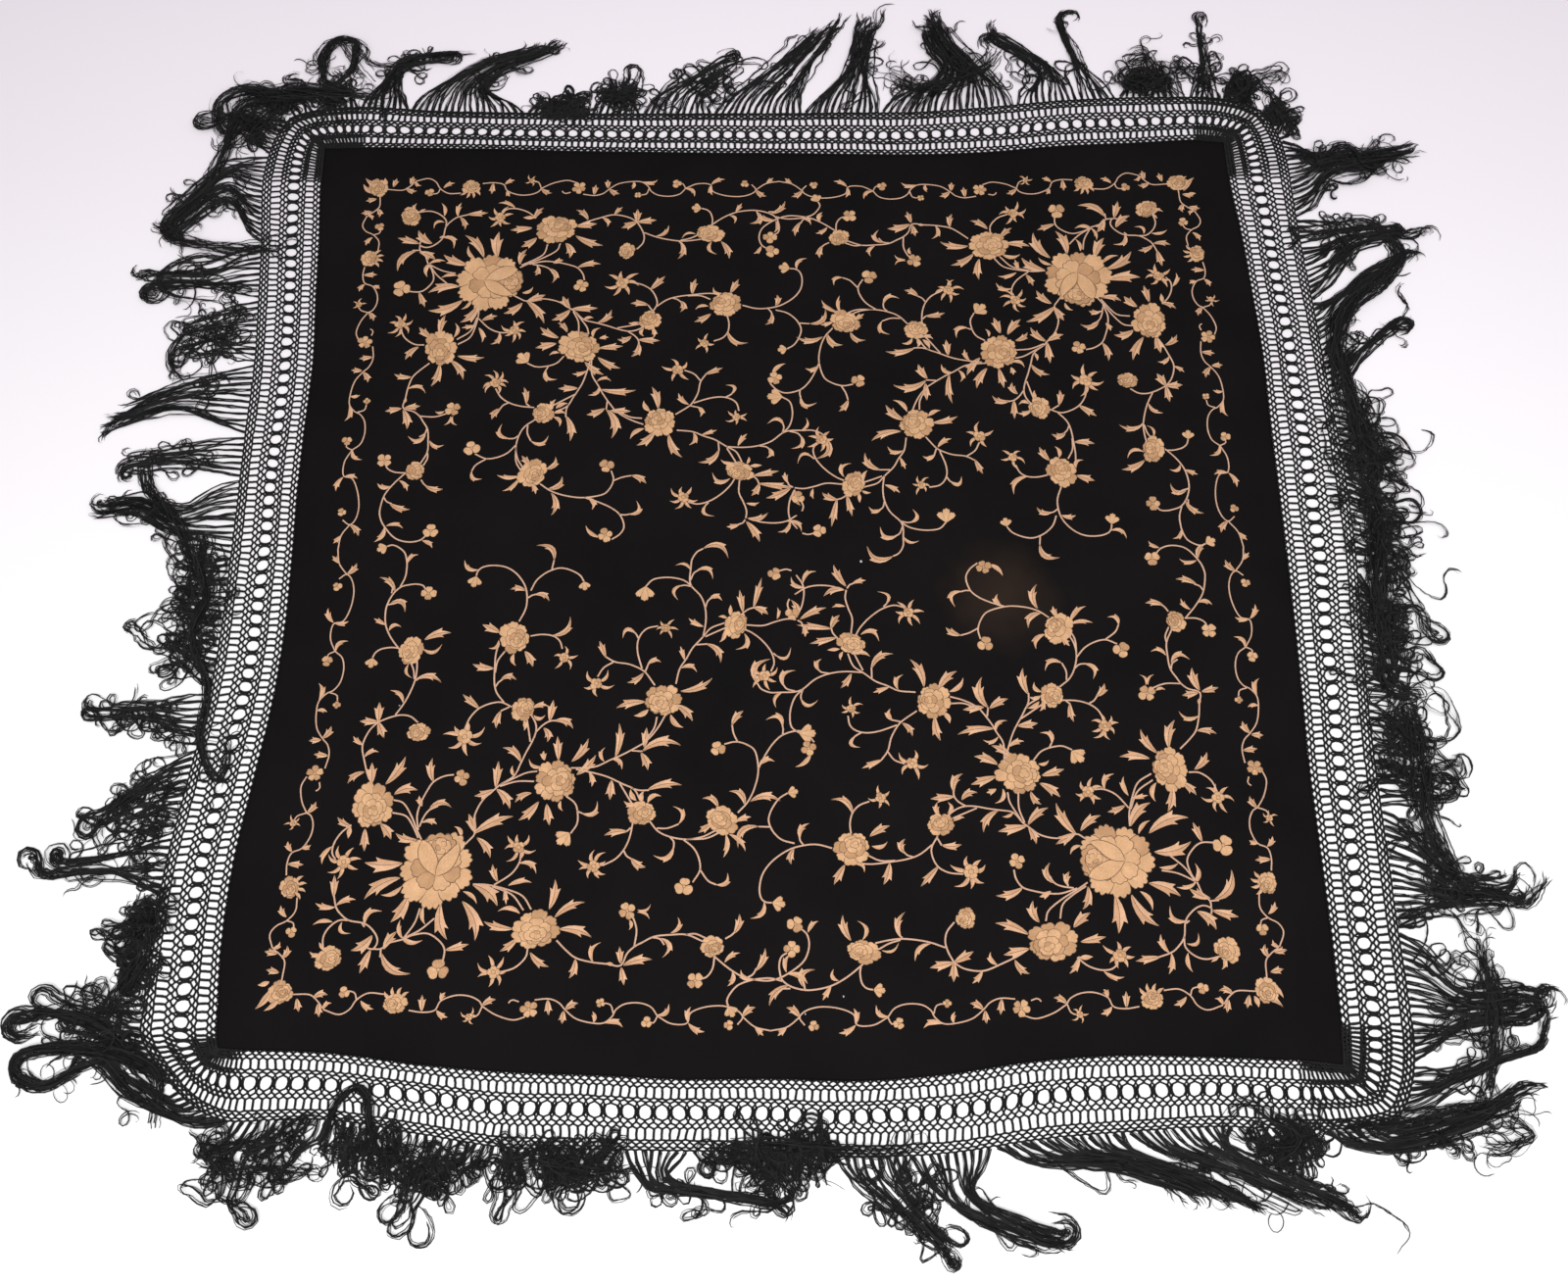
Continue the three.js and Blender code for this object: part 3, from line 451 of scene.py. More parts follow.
# Stalks, each a smooth line through its points.
stalks = [
    [(-458, -338), (-446, -342), (-435, -358), (-426, -377), (-420, -388)],
    [(-458, -354), (-442, -358), (-433, -369), (-424, -386)],
    [(-425, -376), (-428, -358), (-425, -342), (-419, -327), (-412, -315), (-400, -308), (-388, -306)],
    [(-424, -372), (-420, -360), (-414, -351), (-404, -346)],
    [(-421, -366), (-412, -365)],
    [(-506, -369), (-517, -379), (-524, -392), (-525, -404), (-520, -412)],
    [(-487, -237), (-496, -247), (-502, -261), (-503, -272), (-499, -287), (-494, -303), (-490, -312)],
    [(-487, -237), (-473, -231), (-460, -228), (-448, -230), (-438, -238)],
    [(-467, -228), (-458, -213), (-452, -199), (-447, -182), (-446, -168), (-447, -153)],
    [(-448, -180), (-450, -168), (-455, -157)],
    [(-446, -182), (-440, -178), (-430, -177)],
    [(-472, -138), (-481, -137), (-493, -139), (-500, -144), (-503, -151)],
    [(-470, -140), (-479, -129), (-486, -118), (-491, -106), (-493, -92), (-492, -78), (-486, -63),
     (-477, -53), (-467, -50), (-458, -49), (-449, -51), (-445, -57)],
    [(-478, -53), (-473, -40), (-472, -28), (-473, -16), (-477, -4), (-486, 4), (-494, 7), (-500, 5)],
    [(-492, -78), (-482, -76), (-476, -73)],
    [(-488, -62), (-487, -52)],
    [(-335, -323), (-331, -319), (-315, -308), (-308, -292), (-302, -277), (-296, -264), (-292, -251),
     (-293, -240), (-299, -229)],
    [(-298, -264), (-301, -249), (-304, -235)],
    [(-331, -319), (-315, -311), (-300, -304), (-287, -302)],
    [(-331, -321), (-311, -315), (-290, -315)],
    [(-335, -323), (-350, -338), (-358, -355), (-359, -370), (-357, -381), (-363, -389), (-371, -398)],
    [(-246, -298), (-230, -298), (-215, -296), (-199, -288), (-188, -283), (-175, -276), (-160, -267)],
    [(-173, -276), (-160, -277)],
    [(-240, -300), (-225, -303), (-203, -309), (-182, -319), (-168, -326), (-160, -340)],
    [(-186, -318), (-175, -336), (-170, -344)],
    [(-172, -324), (-162, -327), (-150, -327)],
    [(-250, -334), (-239, -343), (-235, -355), (-235, -369), (-242, -381)],
    [(-236, -353), (-229, -356)],
    [(-168, -368), (-171, -386), (-177, -401), (-187, -413), (-202, -421)],
    [(-170, -374), (-175, -379)],
    [(-177, -403), (-174, -409), (-168, -413)],
    [(-148, -366), (-137, -379), (-122, -386), (-103, -389), (-84, -386), (-68, -378)],
    [(-103, -389), (-80, -388), (-64, -381)],
    [(-139, -375), (-126, -375), (-113, -370)],
    [(-123, -386), (-118, -392), (-118, -400)],
    [(-107, -389), (-94, -400), (-87, -414), (-86, -428), (-94, -442)],
    [(-86, -426), (-76, -440), (-66, -445)],
    [(-42, -356), (-30, -342), (-22, -324), (-18, -302), (-22, -278), (-32, -269), (-46, -265),
     (-60, -268)],
    [(-18, -300), (-10, -283), (0, -267), (12, -256), (30, -251), (42, -256), (50, -266)],
    [(-44, -265), (-49, -254), (-51, -243)],
    [(11, -257), (12, -250), (11, -244)],
    [(-251, -511), (-239, -523), (-227, -532), (-208, -537), (-191, -539), (-175, -541), (-168, -527),
     (-160, -519), (-151, -514), (-137, -507), (-118, -505), (-99, -505), (-80, -513)],
    [(-100, -505), (-89, -504), (-77, -509)],
    [(-160, -519), (-158, -500), (-162, -486), (-167, -479)],
    [(-139, -508), (-130, -510), (-125, -517)],
    [(-54, -510), (-47, -506), (-43, -502)],
    [(-66, -530), (-68, -545), (-75, -555), (-84, -557)],
    [(-66, -531), (-49, -545), (-32, -555), (-13, -559), (1, -559), (17, -553), (37, -538), (44, -521),
     (42, -506), (34, -498)],
    [(-28, -556), (-21, -552), (-17, -545)],
    [(-354, -443), (-336, -444), (-312, -450), (-294, -458), (-283, -474)],
    [(-331, -446), (-307, -456), (-292, -475)],
    [(-329, -444), (-310, -431), (-301, -417), (-300, -404)],
    [(-284, -518), (-286, -531), (-298, -543), (-314, -548)],
    [(-517, -456), (-513, -470), (-507, -478), (-496, -486), (-477, -490), (-465, -500), (-460, -511),
     (-464, -520), (-471, -519)],
    [(-496, -486), (-508, -486), (-519, -495), (-524, -507), (-522, -522)],
    [(-480, -490), (-477, -494)],
    [(-465, -520), (-455, -520), (-446, -513), (-431, -509), (-420, -504), (-403, -502), (-389, -510),
     (-381, -521), (-382, -537)],
    [(-414, -472), (-419, -490), (-431, -509)],
    [(-396, -484), (-412, -498), (-431, -508)],
    [(-455, -521), (-455, -530)],
    [(-292, -251), (-284, -242), (-276, -237), (-268, -236)],
    [(-324, -218), (-336, -212), (-346, -212), (-358, -216), (-367, -222), (-375, -233), (-380, -248)],
    [(-327, -218), (-337, -223)],
    [(-334, -212), (-344, -199), (-348, -185), (-349, -166), (-349, -147), (-346, -131)],
    [(-348, -172), (-346, -156), (-338, -143)],
    [(-346, -191), (-343, -185), (-338, -181)],
    [(-307, -122), (-293, -120), (-279, -122), (-270, -129), (-266, -140)],
    [(-323, -102), (-316, -85), (-315, -70), (-318, -54), (-327, -39), (-338, -29), (-350, -24),
     (-365, -23), (-376, -26), (-381, -32), (-382, -38)],
    [(-314, -69), (-308, -65), (-302, -64)],
    [(-311, -59), (-305, -45), (-295, -35), (-284, -29), (-274, -27), (-262, -30), (-250, -37),
     (-244, -46)],
    [(-286, -29), (-284, -16)],
    [(-144, -232), (-147, -247), (-158, -264)],
    [(-134, -230), (-141, -244), (-150, -257), (-159, -266)],
    [(-148, -190), (-160, -173), (-168, -167), (-182, -161), (-199, -158), (-211, -151)],
    [(-161, -172), (-157, -160)],
    [(-165, -167), (-171, -147), (-172, -132), (-168, -120), (-160, -112), (-147, -109)],
    [(-171, -126), (-176, -118), (-184, -115)],
    [(-201, -158), (-213, -166), (-220, -178)],
    [(-63, -105), (-80, -112), (-89, -123), (-94, -129), (-103, -140), (-110, -154), (-118, -168),
     (-122, -188)],
    [(-60, -111), (-75, -118), (-87, -124)],
    [(-90, -125), (-87, -104), (-88, -85), (-94, -68), (-106, -54), (-109, -44), (-108, -28),
     (-107, -16), (-101, -5), (-93, 0)],
    [(-108, -45), (-104, -35), (-97, -30)],
    [(-106, -54), (-115, -52), (-120, -53)],
    [(-106, -54), (-115, -46), (-127, -42), (-141, -41), (-156, -44), (-165, -54)],
    [(-88, -84), (-85, -74), (-80, -70)],
    [(-98, -135), (-84, -134)],
    [(-36, -108), (-15, -109), (0, -104), (15, -100), (27, -101)],
    [(27, -97), (34, -83), (37, -65), (35, -51), (28, -40)],
    [(29, -102), (34, -105), (36, -111)],
    [(-38, -114), (-28, -119), (-15, -130), (-4, -145), (0, -160), (-4, -172)],
    [(-1, -147), (3, -151)],
    [(-41, -92), (-33, -86), (-26, -84)],
    [(6, -32), (14, -30), (21, -32)],
]

# The border from the corner to the middle of a side: the same table serves both halves, turned over.
# along is the place in the front side's left half, and off how far it lies above the vine's line.
vine = [
    [(-567, 0), (-559, 3), (-552, 4)],
    [(-552, 4), (-532, 6), (-522, 0), (-515, -8)],
    [(-514, -9), (-496, -13), (-484, -7), (-477, 4), (-464, 12), (-446, 11)],
    [(-477, 4), (-480, 12), (-487, 14)],
    [(-416, -7), (-400, -9), (-386, -6), (-380, 5), (-364, 12), (-348, 12), (-336, 7), (-332, 1)],
    [(-332, 1), (-336, -9), (-342, -12)],
    [(-332, 1), (-316, -8), (-296, -13), (-282, -9)],
    [(-290, 8), (-298, 10), (-302, 6)],
    [(-272, 11), (-256, 13), (-244, 9), (-236, 1), (-224, -8), (-208, -12), (-192, -12), (-182, -4),
     (-178, 4), (-168, 11), (-152, 13), (-138, 9), (-130, -1)],
    [(-181, 0), (-184, 9), (-191, 11)],
    [(-130, -1), (-134, -9), (-140, -8)],
    [(-130, -1), (-114, -9), (-96, -8), (-92, 4), (-76, 11), (-56, 13), (-40, 9), (-32, 1), (-38, -8)],
    [(-32, 1), (-18, -10), (0, -14)],
]
vine_leaves = [
    (-546, 0, -542, -15, 10, 0.0, 3),
    (-527, 2, -511, 9, 10, 0.15, 3),
    (-521, -3, -518, -18, 10, 0.0, 3),
    (-514, -9, -506, 0, 7, 0.2, 1),
    (-472, 3, -457, -7, 9, -0.1, 3),
    (-401, -8, -402, 11, 10, 0.0, 3),
    (-380, 5, -376, 15, 8, 0.1, 3),
    (-384, -6, -371, -14, 9, -0.1, 3),
    (-332, 1, -317, 10, 10, 0.1, 3),
    (-257, 12, -255, -6, 10, 0.0, 3),
    (-236, 1, -222, 10, 11, 0.1, 3),
    (-238, 0, -239, -15, 10, 0.0, 3),
    (-203, -12, -204, 1, 7, -0.1, 1),
    (-190, -12, -169, -14, 9, 0.15, 1),
    (-130, 0, -116, 12, 8, -0.2, 1),
    (-94, -7, -93, 11, 9, 0.1, 3),
    (-94, -8, -76, -18, 9, -0.1, 3),
    (-32, 1, -18, 13, 11, 0.1, 3),
    (-18, -10, -8, -20, 8, 0.0, 3),
]
# The leaves outside the border's corner: root, tip and width.
corner_leaves = [
    (-576, -566, -592, -590, 8),
    (-566, -578, -582, -592, 6),
    (-580, -558, -593, -562, 6),
]
# The border's own flowers, in the same half side: place, reach, petals.
vine_blossoms = [
    (-492, 12, 7, 3),
    (-196, 11, 5, 4),
    (-142, -9, 7, 3),
    (-48, -9, 6, 3),
]

# The peony: its place; its rings of petals, each with its middle from the flower's, its petals, how far
# they reach from where, their scallops and their height; the petals behind its heart, each with its
# root, the way it points in degrees, how far it reaches, half its spread in degrees, its scallops, its
# height and whether it takes the painted shade, a darker copy of the petal silk; and the two petals
# folded round the heart, each with its outer edge, its inner edge and its height.
peony_place = (-398, -425)
peony_rings = [
    (0, 0, 9, 18, 47, (4, 4, 5), 0.16),
    (0, 2, 7, 8, 31, (2, 3, 3), 0.46),
]
peony_petals = [
    (0, 5, 90, 40, 44, 5, 0.76, True),
    (0, 12, 92, 27, 50, 3, 0.90, False),
    (2, 27, 160, 12, 46, 2, 1.02, True),
    (3, 27, 20, 12, 46, 2, 1.04, False),
    (2, 28, 90, 11, 52, 2, 1.16, False),
    (3, 27, 270, 9, 55, 2, 1.24, False),
    (2, 28, 210, 6, 60, 1, 1.34, True),
    (3, 29, 40, 6, 60, 1, 1.44, False),
]
peony_folds = [
    (
        [(-20, 36), (-24, 26), (-22, 12), (-13, 0), (1, -9)],
        [(-20, 36), (-12, 32), (-5, 22), (0, 10), (1, -9)],
        1.40,
    ),
    (
        [(23, 33), (25, 22), (21, 8), (13, -3), (-1, -9)],
        [(23, 33), (15, 24), (5, 14), (0, 4), (-1, -9)],
        1.56,
    ),
]

# A worn place in the silk: where it is, within what distance it is quite worn, at what distance it
# ends, how far its edge strays and how much of the worn colour it takes.
worn_place = (288, -69, 1.0)
worn_full = 30
worn_end = 110
worn_stray = 50
worn_share = 0.8
# Pale specks on the silk: place and radius.
specks = [
    (110, -19, 1.8),
    (84, -578, 1.2),
    (40, -598, 0.9),
    (-463, -215, 0.8),
]

softness = 40.0  # how loosely the drift follows its anchors
vine_flowers = [-568, -432, -278, 0]  # the places of the flowers along the first half side
vine_width = 1.7
stalk_width = 2.0
stalk_step = 3.2  # between the points of a stalk
# Across a stalk: where its points lie, as shares of half its width, and how high they are.
stalk_across = (-1.0, -0.5, 0.5, 1.0)
stalk_heights = (0.08, 0.42, 0.42, 0.08)
swapped_points = {0: 0, 1: 2, 2: 1, 3: 3}  # a leaf's side points where it is turned over
border_rose = (14, 12, 6)  # half widths and outer petals
border_blossom = (10, 5)  # reach and petals
border_bud = (-346, -12, 11, 5)  # place, reach and points
rose_leaf_turns = (45, 75, 105, 135)  # the way the border rose's leaves point, in degrees
rose_leaf_start = 9
rose_leaf_length = 11
leaf_slimness = 0.72
leaf_bow = 1.15  # leaves bow more than their tables say, and hook back at the tip
leaf_hook = 0.12
leaf_vein = 0.25  # half the vein's width, in leaves that are wide enough for one
leaf_edge_height = 0.14
leaf_dome = 0.28
petal_gap = 0.45  # the dark edge left round the smallest petals
petal_rows = (0.0, 0.4, 0.8, 1.0)  # where the rows of a petal's mesh lie, as shares of its reach
gap_rows = (0.0, 0.55, 1.0)
gap_drop = 0.03  # how far the dark edge lies below its petal
petal_ruffle = 0.07  # how deep the notches between a petal's scallops are
petal_shoulder = 0.24  # how far a petal's edge falls back at its sides
petal_dome = 0.07
petal_over = 0.11  # by which a petal lies over the one beside it
petal_overlap = 1.2  # how much wider a ring's petals are than their share of the ring
painted_shade_share = 0.35  # of the petals painted in shade: a darker copy of their silk, as the satin's sheen turns with its threads
fold_gap = 0.8  # the dark edge round the peony's folded petals
fold_dome = 0.12
fold_rows = 4
fold_columns = 13
disc_columns = 9
disc_gap = 0.5
disc_rise = 0.04
disc_dome = 0.25
# A rose: where its outer petals begin and how high they are; its inner rings, each with how far it
# leans to one side, where its petals begin and end, and its height; and its heart's lean, reach and
# height. All but the heights are shares of its reach.
rose_outer = (0.3, 0.16)
rose_rings = [(0.12, 0.12, 0.70, 0.46), (0.22, 0.05, 0.46, 0.76)]
rose_heart = (0.26, 0.24, 1.06)
bud_points = (0.12, 0.75, 1.1)  # where a bud's points begin, and the least and the most that they reach
bud_slimness = 0.21
bud_bows = [-0.17, -0.08, 0.08, 0.17]
bud_heart = (0.38, 0.5)  # the reach and the height of the petals in a bud
flower_knot = 0.15  # the knot in a blossom's middle, as a share of its reach, and in a bud's
bud_knot = 0.12
# A bell's petals: how far each turns aside, its share of the length and its height.
bell_petals = [(0.6, 0.85, 0.2), (-0.6, 0.85, 0.2), (0.0, 1.0, 0.32)]
bell_spread = 0.32
lowest = 0.1  # the silk and the knots start this far over the floor

# The scales of the weave and the crepe's grain, and of the twist of cord and thread; and how deep the
# silk's faint wrinkles, its weave, the stitches and the twist are, in metres.
weave_scale = 850
crepe_scale = 520
net_twist = 1.2
fringe_twist = 0.9
wrinkle_depth = 0.004
weave_depth = 0.00035
stitch_depth = 0.00022
twist_depth = 0.0003

# Colours, as the shaders take them: the darker and the lighter of each.
silk_colours = ((0.0034, 0.0028, 0.0030), (0.0054, 0.0042, 0.0043))
worn_colour = (0.026, 0.016, 0.011)
net_colours = ((0.006, 0.006, 0.0065), (0.014, 0.0135, 0.014))
fringe_colours = ((0.0045, 0.0042, 0.0046), (0.012, 0.011, 0.0112))
lint_colours = ((0.25, 0.25, 0.26), (0.6, 0.6, 0.6))
floor_front = (0.78, 0.78, 0.78)
floor_back = (0.79, 0.73, 0.79)
# The finishes of the embroidery, in the order of their numbers: colours and roughness.
stitch_finishes = [
    ("petal_silk", (0.45, 0.25, 0.118), (0.67, 0.387, 0.2), 0.5),
    # A darker copy of the petal silk: painted shade, for the satin's sheen that turns with its threads.
    ("petal_silk_painted_shade", (0.34, 0.18, 0.08), (0.52, 0.285, 0.138), 0.5),
    ("leaf_silk", (0.49, 0.275, 0.155), (0.70, 0.415, 0.245), 0.5),
    # A darker copy of the leaf silk: painted shade on each leaf's right half.
    ("leaf_silk_painted_shade", (0.41, 0.215, 0.115), (0.61, 0.34, 0.185), 0.5),
    ("stalk_silk", (0.43, 0.25, 0.165), (0.66, 0.41, 0.28), 0.55),
    ("stitch_edge", (0.04, 0.02, 0.012), (0.11, 0.06, 0.033), 0.7),
]
petal, petal_painted_shade, leaf, leaf_painted_shade, stalk, gap = range(6)

camera_lens = 39.135
camera_place = (69.8, -990.3, 1966.6)  # from the middle of the embroidery
camera_turn = (-66.41, -0.548, 0.265)  # its fall below level, its turn to the left and its roll
camera_shift = -0.0334
sky_colour = (1.0, 0.985, 1.0, 1)
sky_strength = 0.47
floor_size = 6.0  # half of the floor's side, in metres
rosy_from = -0.5  # where the floor's faint rose begins and is full, in metres towards the back
rosy_to = 1.1
# Lamps that face the middle of the floor: name, place and side in metres, and power.
lamps = [
    ("key_light", (-0.3, -1.5, 2.5), 2.0, 80),
    ("fill_light", (1.2, -0.9, 2.8), 2.0, 34),
]

# Bunches of threads that strayed from the tufts, on each side: how many threads, how wide they spread,
# and their way, as (along, out).
strays = {
    "front": [
        (45, 10, [(-690, 60), (-694, 6), (-740, -20), (-800, -28), (-850, -20), (-852, 2), (-820, 13),
                  (-780, -8), (-740, -24)]),
        (30, 7, [(-500, 92), (-494, 60), (-488, 36), (-467, 16), (-452, 32), (-446, 62), (-427, 96)]),
        (4, 4, [(300, 85), (340, 118), (373, 133), (366, 85)]),
        (2, 2, [(600, 130), (637, 151), (662, 148), (681, 159), (699, 178), (682, 200)]),
        (10, 12, [(500, 60), (530, 40), (560, 52), (586, 80), (540, 100)]),
        (14, 14, [(820, 60), (850, 76), (820, 90), (790, 84)]),
        (14, 12, [(-310, 104), (-260, 98), (-200, 108), (-150, 110)]),
        (16, 10, [(-60, 84), (0, 80), (60, 86), (120, 90), (160, 88)]),
        (12, 12, [(-640, 90), (-600, 104), (-540, 106), (-500, 108)]),
        (14, 10, [(300, 95), (380, 100), (440, 112), (500, 135), (560, 160)]),
    ],
    "right": [
        (5, 4, [(420, 214), (403, 206), (380, 215), (360, 207)]),
        (4, 4, [(455, 225), (480, 245), (500, 222), (478, 205)]),
        (12, 5, [(476, 60), (493, 78), (512, 66), (506, 96)]),
        (8, 8, [(600, 127), (586, 160), (604, 193), (640, 205)]),
        (8, 10, [(700, 30), (730, 24), (770, 46), (786, 87), (760, 70)]),
        (40, 16, [(-720, -20), (-712, 60), (-700, 130), (-694, 193)]),
        (44, 16, [(525, 150), (520, 185), (471, 214), (423, 187), (376, 134), (319, 108), (263, 100),
                  (208, 107)]),
        (36, 18, [(655, 84), (628, 118), (650, 160), (618, 192), (624, 226)]),
        (24, 16, [(625, 100), (612, 150), (620, 200), (645, 215)]),
        (30, 26, [(260, 118), (200, 126), (150, 128)]),
        (40, 20, [(-460, 170), (-400, 150), (-340, 135), (-280, 140), (-200, 130)]),
        (40, 22, [(-200, 120), (-120, 112), (-40, 118), (40, 124), (120, 128)]),
        (40, 20, [(60, 126), (140, 130), (220, 122), (300, 110), (360, 120)]),
        (30, 16, [(-690, 150), (-640, 170), (-580, 180), (-500, 175)]),
    ],
    "back": [
        (4, 4, [(-455, 90), (-450, 150), (-436, 200), (-420, 226)]),
        (4, 4, [(-548, 130), (-538, 170), (-534, 206)]),
        (8, 10, [(586, 113), (620, 150), (660, 203), (686, 170), (650, 130)]),
        (8, 6, [(570, 47), (580, 90), (573, 147)]),
        (10, 10, [(-740, 66), (-715, 100), (-690, 133), (-670, 100)]),
        (5, 6, [(300, 73), (316, 100), (333, 93), (326, 76)]),
        (30, 20, [(-320, 190), (-300, 150), (-250, 120), (-210, 110), (-150, 150)]),
        (36, 24, [(720, 30), (770, 60), (800, 40), (812, 90), (770, 112), (730, 80), (780, 20),
                  (800, 0)]),
        (26, 12, [(800, 96), (712, 114), (640, 106), (585, 98)]),
        (24, 14, [(640, 90), (700, 100), (760, 110), (800, 120)]),
        (9, 9, [(676, 112), (672, 150), (666, 190), (634, 202), (612, 186), (626, 150)]),
        (7, 12, [(630, 196), (600, 164), (560, 160), (520, 176), (450, 180)]),
    ],
    "left": [
        (40, 9, [(-770, 10), (-800, -18), (-850, -20), (-854, 10), (-820, 26), (-780, 20)]),
        (14, 6, [(-460, 100), (-470, 160), (-440, 206), (-405, 190), (-394, 120)]),
        (10, 8, [(-360, 113), (-340, 160), (-300, 173), (-260, 150)]),
        (26, 8, [(-40, 93), (20, 82), (60, 70), (110, 82), (180, 53), (240, 53), (280, 40), (300, 22),
                 (262, 18), (246, 30)]),
        (8, 5, [(600, 120), (640, 140), (663, 160), (650, 190), (626, 200)]),
        (12, 12, [(293, 84), (320, 130), (360, 160), (386, 150)]),
        (34, 14, [(-780, -5), (-745, 60), (-735, 130), (-660, 145), (-591, 165), (-540, 195),
                  (-508, 208)]),
        (30, 14, [(-540, 190), (-506, 206), (-488, 150), (-481, 100), (-487, 55)]),
        (26, 14, [(-154, 185), (-100, 170), (-40, 120), (40, 85)]),
        (24, 14, [(440, 90), (500, 80), (560, 100), (600, 130)]),
    ],
}

# Heights over the floor, and the sizes of threads.
silk_steps = 110  # cells across the silk's mesh
rim_steps = 3  # the cells at its edge in which the creases die away
hem_steps = 240
hem_radius = 1.1
hem_waver = 0.15
hem_lift = 0.15
hem_inset = 0.9992  # the hem lies just inside the silk's edge
cord_radius = 1.3  # of the net
wall_radius = 1.42  # of two cords together
cord_weights = (1.0, 1.16, 1.24, 1.12)  # how much thicker the cords are on each side
# The strands beside a long gap: where they turn, as shares of its length, and how far they lie from
# their bundle's middle at their ends and where they are drawn together, in cells, at every other knot.
bundle_shares = (0.17, 0.38, 0.62, 0.83)
bundle_wide = (0.2, 0.42)
bundle_apart = (0.07, 0.2)
knot_radius = 1.95
knot_tail = 0.6  # how far a knot is drawn out along its strands
knot_shake = 0.3  # how far the knots of the inner rows stray
net_height = 1.5
cells = 128  # cells of the net along the straight part of a band
fan_pitch = 8.2  # how wide a cell is at the net's outer edge, in a corner's fan
fan_steps = 60
fan_thickness = 0.8  # how much the cords thicken where a corner gathers them at the silk
fan_thinning = 0.85  # and how much of that is gone at the net's outer edge
# Rows of knots across a band: their place as a share of its width, and 0.5 where they stand between the
# knots of the rows beside them. Two rows of the same place are joined by upright walls, and the long
# gaps open below the row marked long.
knot_rows = [
    (0.0, 0.5), (0.040, 0.0), (0.092, 0.5), (0.142, 0.0), (0.258, 0.0), (0.296, 0.5), (0.345, 0.0),
    (0.590, 0.0), (0.650, 0.5), (0.704, 0.0), (0.835, 0.0), (0.866, 0.5), (0.921, 0.0), (0.966, 0.5),
    (1.0, 0.0),
]
long_row = 6
knot_half = 0.011  # half a knot's length, as a share of the band
fringe_length = 225
fringe_step = 11.5  # between the points of a thread where it lies straight, and where it curls
curl_step = 4.6
curl_bend = 0.77  # by which a curl's bends are eased, for its shorter steps
fringe_radius = 0.62
thread_lowest = 0.25
root_hang = 0.3  # the share of its way on which a lock still hangs from its knot
tuft_root = 70  # how far out a tuft's middle starts
tuft_fill = 0.9  # the share of its width that a tuft's locks take
rope_apart = 36  # between the middles of the ropes the locks gather in
rope_share = 0.8  # of a rope's length that follows its tuft, before it folds
rope_radius = 2.6
rope_spread = 0.12  # by which a rope is wider in a wider tuft
rope_most = 8.5  # and the widest that it is
rope_lengths = (0.62, 1.0)  # the share of its rope that a strand follows
rope_joins = (0.45, 0.75)  # the share of its own way on which it joins the rope
rope_windings = (0.12, 0.3)  # how far it turns round the rope at each step
rope_end = 14  # how far the ends of a rope stray
rope_bend = 0.62
rope_turning = 0.3  # how often a rope's fold turns the other way, and a single strand's
strand_turning = 0.16
strand_lengths = (0.22, 1.0)  # the share of its tuft's way that a single strand follows
strand_most = 0.85  # and of its own length, at most
wide_tuft = 100  # a tuft wider than this keeps its ropes apart
rope_pull = 0.4  # how far the ropes of a narrower one draw to its middle
loose_share = 0.25  # of the strands that join no rope, in a long tuft
heap_share = 0.85  # and in a short one, which lies in a heap
long_tuft = 165
short_tuft = 95
strands_a_knot = 3
strand_apart = 1.2
threads_a_strand = 3
thread_apart = 0.55
thread_rise = 0.4  # between the heights of a strand's threads
thread_lengths = (0.85, 1.0)  # the share of its strand that a thread follows
thread_base = 0.7  # how high a strand starts over the floor
tuft_clearance = 2.5  # how far the strands stay below the tuft's full height
first_bends = (0.2, 0.7)  # how far a curl bends at each step, at first and from its next turn on
later_bends = (0.12, 0.75)
homing = (0.5, 30, 1.1)  # how hard a thread that strays turns back: at least, over which way, at most

draw_seed = 20
noise_seed = 11
rng = random.Random(draw_seed)
noise = np.random.default_rng(noise_seed)


def turned(x, y, quarters):
    """A place turned by quarter turns about the origin."""
    for _ in range(quarters % 4):
        x, y = -y, x
    return x, y


def place(side, along, out):
    """A place of a side's frame, on the floor."""
    return np.array(turned(along, -half_square - out, sides.index(side)), float)


def eased(t, start, end, rise, next_rise):
    """The way from start to end, which leaves on one slope and comes in on another."""
    return (
        (2 * t**3 - 3 * t**2 + 1) * start
        + (t**3 - 2 * t**2 + t) * rise
        + (3 * t**2 - 2 * t**3) * end
        + (t**3 - t**2) * next_rise
    )


def smooth(values, along):
    """A smooth line through one of a side's tables."""
    spot = (along + fan_start) / table_step
    i = min(max(math.floor(spot), 0), len(values) - 2)
    t = min(max(spot - i, 0), 1)
    at = [values[min(max(k, 0), len(values) - 1)] for k in range(i - 1, i + 3)]
    return eased(t, at[1], at[2], (at[2] - at[0]) / 2, (at[3] - at[1]) / 2)


def corner_of(side, right):
    """The silk's corner and the net's corner at one end of a side."""
    row = corners[(sides.index(side) + (0 if right else 3)) % 4]
    return np.array(row["cloth"], float), np.array(row["net"], float)


def silk_edge(side, along):
    """The silk's edge. Past the start of the fan it closes on the corner."""
    if abs(along) <= fan_start:
        return place(side, along, smooth(side["cloth"], along))
    end = math.copysign(fan_start, along)
    t = (abs(along) - fan_start) / (fan_end - fan_start)
    start = place(side, end, smooth(side["cloth"], end))
    corner = corner_of(side, along > 0)[0]
    return start + (corner - start) * (1 - (1 - t) ** edge_closing)


